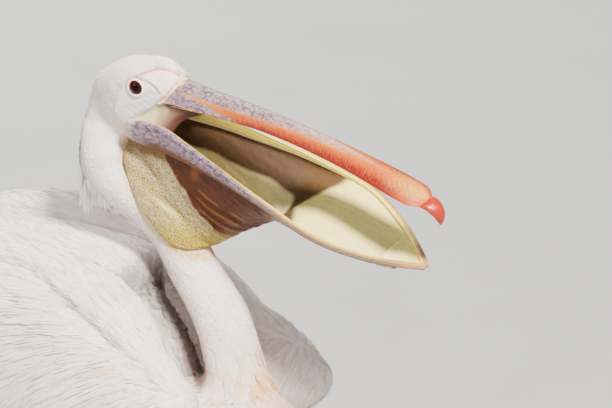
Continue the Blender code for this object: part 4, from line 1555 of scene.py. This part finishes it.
def feather_group(name, vanes, hue, look, nodes=()):
    """Joins vanes, coloured by a function of the run along each and the side."""
    colours = np.concatenate([hue(t, u) for _, t, u in vanes])
    solid(name, [rings for rings, _, _ in vanes], colours, look, nodes, local=False)


def dark_vane(t, u):
    root = step(0.3, 0.0, t)
    return layered(BLACK_FEATHER, (GREY_FEATHER, 0.35 * bell(u, 0.12)), (GREY_FEATHER, 0.25 * root))


def pale_vane(_, u):
    return blend(WHITE, VANE_SHADE, 0.5 * bell(u, 0.14) + 0.15 * step(0.5, 1.0, np.abs(u)))


def wing_tips():
    """Folded primaries: long dark blades, one over the next, past the end of the wing."""
    for name, side in SIDES:
        group = []
        for i in range(9):
            s = i / 8
            base = (-0.255 - 0.006 * i, side * (0.083 - 0.012 * s), 0.262 - 0.060 * s)
            reach = -0.420 - 0.070 * math.sin(math.pi * min(1.0, 0.15 + s) / 2)
            tip = (reach, side * (0.030 + 0.006 * (1 - s)), 0.243 - 0.026 * s)
            lean = math.radians(58 - 16 * s)
            across = (0.0, side * -math.cos(lean), math.sin(lean))
            group.append(vane(base, tip, across, 0.034 - 0.006 * s, -0.004, 20))
        nodes = ["flight_feathers_" + name]
        feather_group("primaries_" + name, group, dark_vane, FLIGHT_LOOK, nodes)


# Middle line of a folded wing's rear end: x, distance from the middle, z
WING_REAR = (
    (-0.216, 0.088, 0.234), (-0.300, 0.066, 0.236), (-0.370, 0.047, 0.240), (-0.430, 0.034, 0.232),
    (-0.490, 0.022, 0.217),
)
# Rows of white feathers over it: number, x of the roots, x of the tips, size of the ring of tips, width
TERTIALS = (
    (16, -0.300, -0.446, 0.0215, 0.019),
    (17, -0.276, -0.418, 0.0262, 0.020),
    (18, -0.252, -0.390, 0.0318, 0.021),
    (19, -0.230, -0.362, 0.0385, 0.021),
    (20, -0.208, -0.334, 0.0465, 0.021),
)


def tertials():
    """White feathers that lap over the roots of the dark ones at the wing's end."""
    draw = np.random.default_rng(17)
    for name, side in SIDES:
        group = []
        for count, root_x, tip_x, size, width in TERTIALS:
            root_mid = curve(WING_REAR, root_x)[0]
            tip_mid = curve(WING_REAR, tip_x)[0]
            for turn in np.linspace(-28, 140, count):
                angle = math.radians(turn + draw.uniform(-4, 4))
                out = np.array([0.0, side * math.cos(angle), math.sin(angle)])
                middle = np.array([root_x + draw.uniform(-0.006, 0.006), side * root_mid[0], root_mid[1]])
                hit = SKIN_TREE.ray_cast(Vector(middle + out * 0.16), Vector(-out), 0.2)
                if hit[0] is None or on_wing(np.array([hit[0]]))[0] < 0.5:
                    continue
                base = np.array(hit[0]) - out * 0.0005
                tip = np.array([tip_x + draw.uniform(-0.010, 0.010), side * tip_mid[0], tip_mid[1]])
                swell = 0.90 if abs(out[2]) > 0.7 else 1.10
                tip = tip + out * size * swell + out * draw.uniform(0.0, 0.0015)
                across = unit(np.cross(tip - base, out))
                group.append(vane(base, tip, across, width * draw.uniform(0.85, 1.15), -0.004, 14))
        feather_group("tertials_" + name, group, pale_vane, DOWN_LOOK)


# Rows of the tail: number, spread in degrees, x of the roots, length, width, height over the row below
TAIL_ROWS = (
    (22, 21, -0.352, 0.166, 0.026, 0.0),
    (19, 20, -0.345, 0.104, 0.022, 0.0016),
    (17, 19, -0.338, 0.066, 0.020, 0.0034),
)


def tail_fan():
    """Tail feathers that overlap like tiles, the middle ones on top, with coverts over their roots."""
    draw = np.random.default_rng(19)
    group = []
    for row, (number, spread, root, length, width, lift) in enumerate(TAIL_ROWS):
        for i in range(number):
            s = 2 * i / (number - 1) - 1
            angle = math.radians(spread * s + draw.uniform(-0.5, 0.5))
            base = (root, 0.026 * s, 0.188 - 0.010 * s * s - 0.010 * abs(s) + lift)
            reach = length * (1 - 0.16 * s * s) + draw.uniform(-0.003, 0.003)
            fall = (0.031 - 0.002 * row) * length / TAIL_ROWS[0][3]
            sideways = reach * math.sin(angle) * 0.85
            tip = (base[0] - reach * math.cos(angle), base[1] + sideways, base[2] - fall)
            across = unit(np.array([-math.sin(angle), -math.cos(angle), 0.16 * np.sign(s) + 0.10 * s]))
            group.append(vane(base, tip, across, width, -0.002, 18))
    feather_group("tail_feathers", group, pale_vane, CREST_LOOK, ["tail"])


CREST_PLUMES = 430  # on the nape, of which the first LONG_PLUMES hang long
LONG_PLUMES = 90


def crest_plumes():
    """Shaggy plumes that hang from the nape, and a fringe down the back of the neck."""
    draw = np.random.default_rng(5)
    number = CREST_PLUMES
    long = np.arange(number) < LONG_PLUMES
    across = draw.normal(0, 0.011, number)
    high = np.where(long, draw.uniform(0.428, 0.492, number), draw.uniform(0.410, 0.500, number))
    ahead = np.stack([np.full(number, -0.2), across, high], 1)
    hits = [SKIN_TREE.ray_cast(Vector(p), Vector((1, 0, 0))) for p in ahead.tolist()]
    start = np.array([h[0] if h[0] else (0.02, 0, 0.45) for h in hits])
    out = np.array([h[1] if h[1] else (-1, 0, 0) for h in hits])
    length = np.where(long, draw.uniform(0.035, 0.070, number), draw.uniform(0.012, 0.026, number))
    floor_z = np.where(long, 0.3700, 0.3880)
    length = np.minimum(length, start[:, 2] - floor_z)
    keep = length > 0.006
    start, out, length, across, long = (v[keep] for v in (start, out, length, across, long))
    number = len(start)
    sway = draw.normal(0, 0.0025, (number, 1))
    lean = np.where(long, draw.uniform(-0.0075, 0.001, number), draw.uniform(-0.004, 0.001, number))[:, None]
    line = []
    for level in PLUME_LEVELS:
        drop = length * level
        hang = start + out * (0.0015 * math.sin(math.pi * min(level, 0.7)))
        hang = hang + lean * level**1.5 * np.array([1.0, 0, 0]) + sway * level**2 * np.array([0, 1.0, 0])
        hang[:, 1] *= 1 - 0.35 * level
        hang[:, 2] = start[:, 2] - drop
        hang[:, 0] = np.maximum(hang[:, 0], -0.0125)
        line.append(hang)
    line = np.stack(line)
    heading = unit(np.gradient(line, axis=0))
    sideways = np.sign(draw.normal(0, 0.006, number) + start[:, 1])[:, None] * np.array([0.0, 0.8, 0.0])
    facing = unit(out * (0.35, 0.35, 0) + sideways + draw.normal(0, 0.15, (number, 3)))
    up = unit(np.broadcast_to(facing, line.shape))
    up = unit(up - heading * (up * heading).sum(2, keepdims=True))
    uv = skin_uv(start)
    width = np.where(long, draw.uniform(0.0024, 0.0044, number), draw.uniform(0.0014, 0.0026, number))
    colours = blend(srgb(252, 250, 248), WHITE, draw.random(number))
    rise = np.full(number, 0.0004)
    weave("crest_plumes", CREST_LOOK, PLUME_LEVELS, (line, up, heading), uv, length, width, rise, 4, colours,
          ragged=0.35, splay=0.30, nodes=["crest"])


# ------------------------------------------------------------------- legs


FOOT_AT = (-0.105, 0.118)
TOES = ((30, 0.106), (8, 0.124), (-14, 0.110), (-66, 0.044))  # heading in degrees, outwards above 0; length
WEB = 0.0030
# The shank from the thigh's feathers round the heel to the toes: x, distance from the middle, z, half width,
# half thickness
SHANK = (
    (-0.2300, 0.1105, 0.0500, 0.0080, 0.0080),
    (-0.2420, 0.1115, 0.0400, 0.0084, 0.0078),
    (-0.2530, 0.1125, 0.0290, 0.0092, 0.0092),
    (-0.2540, 0.1130, 0.0190, 0.0104, 0.0106),
    (-0.2440, 0.1130, 0.0128, 0.0104, 0.0118),
    (-0.2300, 0.1132, 0.0114, 0.0082, 0.0100),
    (-0.1900, 0.1145, 0.0100, 0.0066, 0.0082),
    (-0.1450, 0.1165, 0.0092, 0.0070, 0.0078),
    (-0.1200, 0.1175, 0.0086, 0.0088, 0.0076),
    (-0.1000, 0.1180, 0.0068, 0.0090, 0.0058),
    (-0.0880, 0.1182, 0.0050, 0.0050, 0.0036),
)


CLAW_SIDES = 14
SHANK_ROWS = 140
SHANK_SIDES = 40
SOLE = 0.0002  # height of the soles over the floor


def foot_at(side):
    return np.array([FOOT_AT[0], side * FOOT_AT[1], 0.0])


def web_and_toes(side):
    """The spread foot without claws, from its upper surface to its flat sole, and its colours."""
    headings = np.array([t[0] for t in TOES], float)
    turn = np.linspace(headings[0] + 3.2, headings[-1] - 7, 170)
    reach = np.linspace(0, 1, 64)
    apart = np.abs(turn[:, None] - headings[None]).min(1)
    length = curve([(-h, size) for h, size in TOES], np.clip(-turn, -30, 66))[:, 0]
    length = length * (1 - 0.17 * (1 - bell(apart, 6.0)))
    away = 0.004 + (length[:, None] - 0.004) * reach[None]
    gap = np.radians(apart)[:, None] * away
    knuckle = 1 + 0.16 * np.maximum(0, np.sin(reach * math.pi * 3.2 - 0.6))[None] ** 2
    radius = (0.0056 - 0.0024 * reach)[None] * knuckle
    toe = radius * np.sqrt(np.clip(1 - (gap / (radius * 1.15)) ** 2, 0, 1))
    creases = 0.00030 * np.sin(reach * 70 + turn[:, None] * 0.25) * step(0.0, 0.3, reach)
    web = WEB * (1 - 0.45 * reach)[None] + creases
    top = np.maximum(web, toe * 1.55) * np.sqrt(np.clip((1 - reach) / 0.03, 0.05, 1))[None]
    to_edge = np.minimum(turn[0] - turn, turn - turn[-1])
    top = top * np.sqrt(np.clip((to_edge + 0.4) / 3.0, 0.05, 1))[:, None]
    heading = np.stack([np.cos(np.radians(turn)), side * np.sin(np.radians(turn))], 1)
    flat = foot_at(side)[:2] + heading[:, None, :] * away[..., None]
    upper = np.concatenate([flat, top[..., None] + SOLE], 2)
    lower = np.concatenate([flat, np.full((*top.shape, 1), SOLE)], 2)
    rings = np.concatenate([upper, lower[:, ::-1]], 1)
    ridge = np.concatenate([(toe > web).astype(float), 0 * top], 1).ravel()
    pink = 0.75 * ridge + 0.2 * ripple(rings.reshape(-1, 3), 0.02, 52)
    return rings, layered(LEG_ORANGE, (LEG_PINK, pink), (WEB_ORANGE, 0.5 * (1 - ridge)))


def claw(side, degrees, size):
    """A short claw that tapers down to the floor from the end of a toe, and its colours."""
    way = np.array([math.cos(math.radians(degrees)), side * math.sin(math.radians(degrees)), 0.0])
    over = np.array([-way[1], way[0], 0.0])
    angle = circle(CLAW_SIDES)
    t = np.linspace(0, 1, 12)
    middle = foot_at(side) + way * (size - 0.006 + 0.0125 * t)[:, None]
    middle[:, 2] = 0.0036 * (1 - t**2) + 0.0008
    thick = (0.0025 * (1 - t) ** 0.7 + 0.0003)[:, None]
    up = np.array([0, 0, 1.0])
    rings = tube(middle, over, up, np.cos(angle)[None] * thick * 0.85, np.sin(angle)[None] * thick)
    rings[..., 2] = np.maximum(rings[..., 2], SOLE / 2)
    return rings, blend(LEG_PINK, CLAW_GREY, np.repeat(step(0.05, 0.35, t), CLAW_SIDES))


def shank(side):
    """The scaled shank with its heel, and its colours."""
    rows = sections(SHANK, SHANK_ROWS)
    rows[:, 1] *= side
    path = rows[:, :3]
    ahead = unit(np.gradient(path, axis=0))
    over = unit(np.array([0.0, 1.0, 0.0]) - ahead * ahead[:, 1:2])
    angle = circle(SHANK_SIDES)
    wave = np.sin(np.arange(SHANK_ROWS) * 0.75)
    plates = np.abs(wave)[:, None] * step(0.1, 0.7, np.abs(np.sin(angle)))[None] * 0.00045
    wide = rows[:, 3:4] * power(np.cos(angle), 0.9)[None]
    tall = (rows[:, 4:5] + plates) * power(np.sin(angle), 0.9)[None]
    rings = tube(path, over, np.cross(ahead, over), wide, tall)
    rings[..., 2] = np.maximum(rings[..., 2], SOLE)
    orange = 0.4 + 0.35 * ripple(rings.reshape(-1, 3), 0.02, 53)
    seams = np.repeat(bell(wave, 0.3), SHANK_SIDES)
    return rings, layered(LEG_PINK, (LEG_ORANGE, orange), (SEAM_BROWN, 0.35 * seams))


def feet():
    """Webbed feet laid flat: toes with knuckles and claws on a thin, creased web."""
    for name, side in SIDES:
        parts, hues = zip(web_and_toes(side), *[claw(side, degrees, size) for degrees, size in TOES])
        hues = np.concatenate(hues)
        solid("foot_skin_" + name, parts, hues, LEG_LOOK, ["foot_" + name], local=False)
        rings, hue = shank(side)
        solid("shank_skin_" + name, [rings], hue, LEG_LOOK, ["shank_" + name], local=False)


upper_bill()
bill_fringe()
nail()
lower_bill()
bill_web()
pouch()
mouth_corners()
eyes()
wing_tips()
tertials()
tail_fan()
crest_plumes()
feet()


# ------------------------------------------------------------------- floor, light, camera

VIEW_AZIMUTH = math.radians(35)
VIEW_HEIGHT = math.radians(19)
VIEW_DISTANCE = 16.0
FRAME_WIDTH = 0.7454
SENSOR = 36.0
VIEW_SHIFT = (0.14166, -0.12753)  # from the head to the middle of the view, to the right and up
FLOOR_HALF = 30.0
# Lamps: name, place, x of the point it faces, size, watts, colour
LAMPS = (
    ("key", (2.5, -1.5, 3.6), 0.1, 0.7, 680, (1.0, 0.965, 0.91)),
    ("fill", (-1.5, -3.2, 1.8), 0.1, 2.2, 60, (0.95, 0.97, 1.0)),
    ("rim", (-2.4, 2.2, 2.2), 0.0, 1.6, 200, (1, 1, 1)),
)


def floor():
    corners = [(x * FLOOR_HALF, y * FLOOR_HALF, 0) for x, y in ((-1, -1), (1, -1), (1, 1), (-1, 1))]
    mesh = build_mesh("studio_floor", corners, [np.array([[0, 1, 2, 3]])])
    mesh.materials.append(floor_look())
    added("studio_floor", mesh)


def lights():
    world = bpy.data.worlds.new("studio")
    world.use_nodes = True
    background = world.node_tree.nodes["Background"]
    background.inputs["Color"].default_value = (0.92, 0.95, 1.0, 1.0)
    background.inputs["Strength"].default_value = 0.48
    bpy.context.scene.world = world
    for name, where, aim_x, size, watts, colour in LAMPS:
        data = bpy.data.lights.new(name, "AREA")
        data.shape = "DISK"
        data.size = size
        data.energy = watts
        data.color = colour
        made = added(name, data)
        made.location = where
        made.rotation_euler = (Vector((aim_x, 0, 0.3)) - Vector(where)).to_track_quat("-Z", "Y").to_euler()


def camera():
    level = math.cos(VIEW_HEIGHT)
    away = Vector((math.sin(VIEW_AZIMUTH) * level, -math.cos(VIEW_AZIMUTH) * level, math.sin(VIEW_HEIGHT)))
    right = Vector((math.cos(VIEW_AZIMUTH), math.sin(VIEW_AZIMUTH), 0))
    above = away.cross(right)
    middle = Vector(HEAD_AT) + right * VIEW_SHIFT[0] + above * VIEW_SHIFT[1]
    data = bpy.data.cameras.new("view")
    data.sensor_width = SENSOR
    data.lens = SENSOR * VIEW_DISTANCE / FRAME_WIDTH
    data.clip_end = 200
    made = added("view", data)
    made.location = middle + away * VIEW_DISTANCE
    made.rotation_euler = away.to_track_quat("Z", "Y").to_euler()
    bpy.context.scene.camera = made


floor()
lights()
camera()
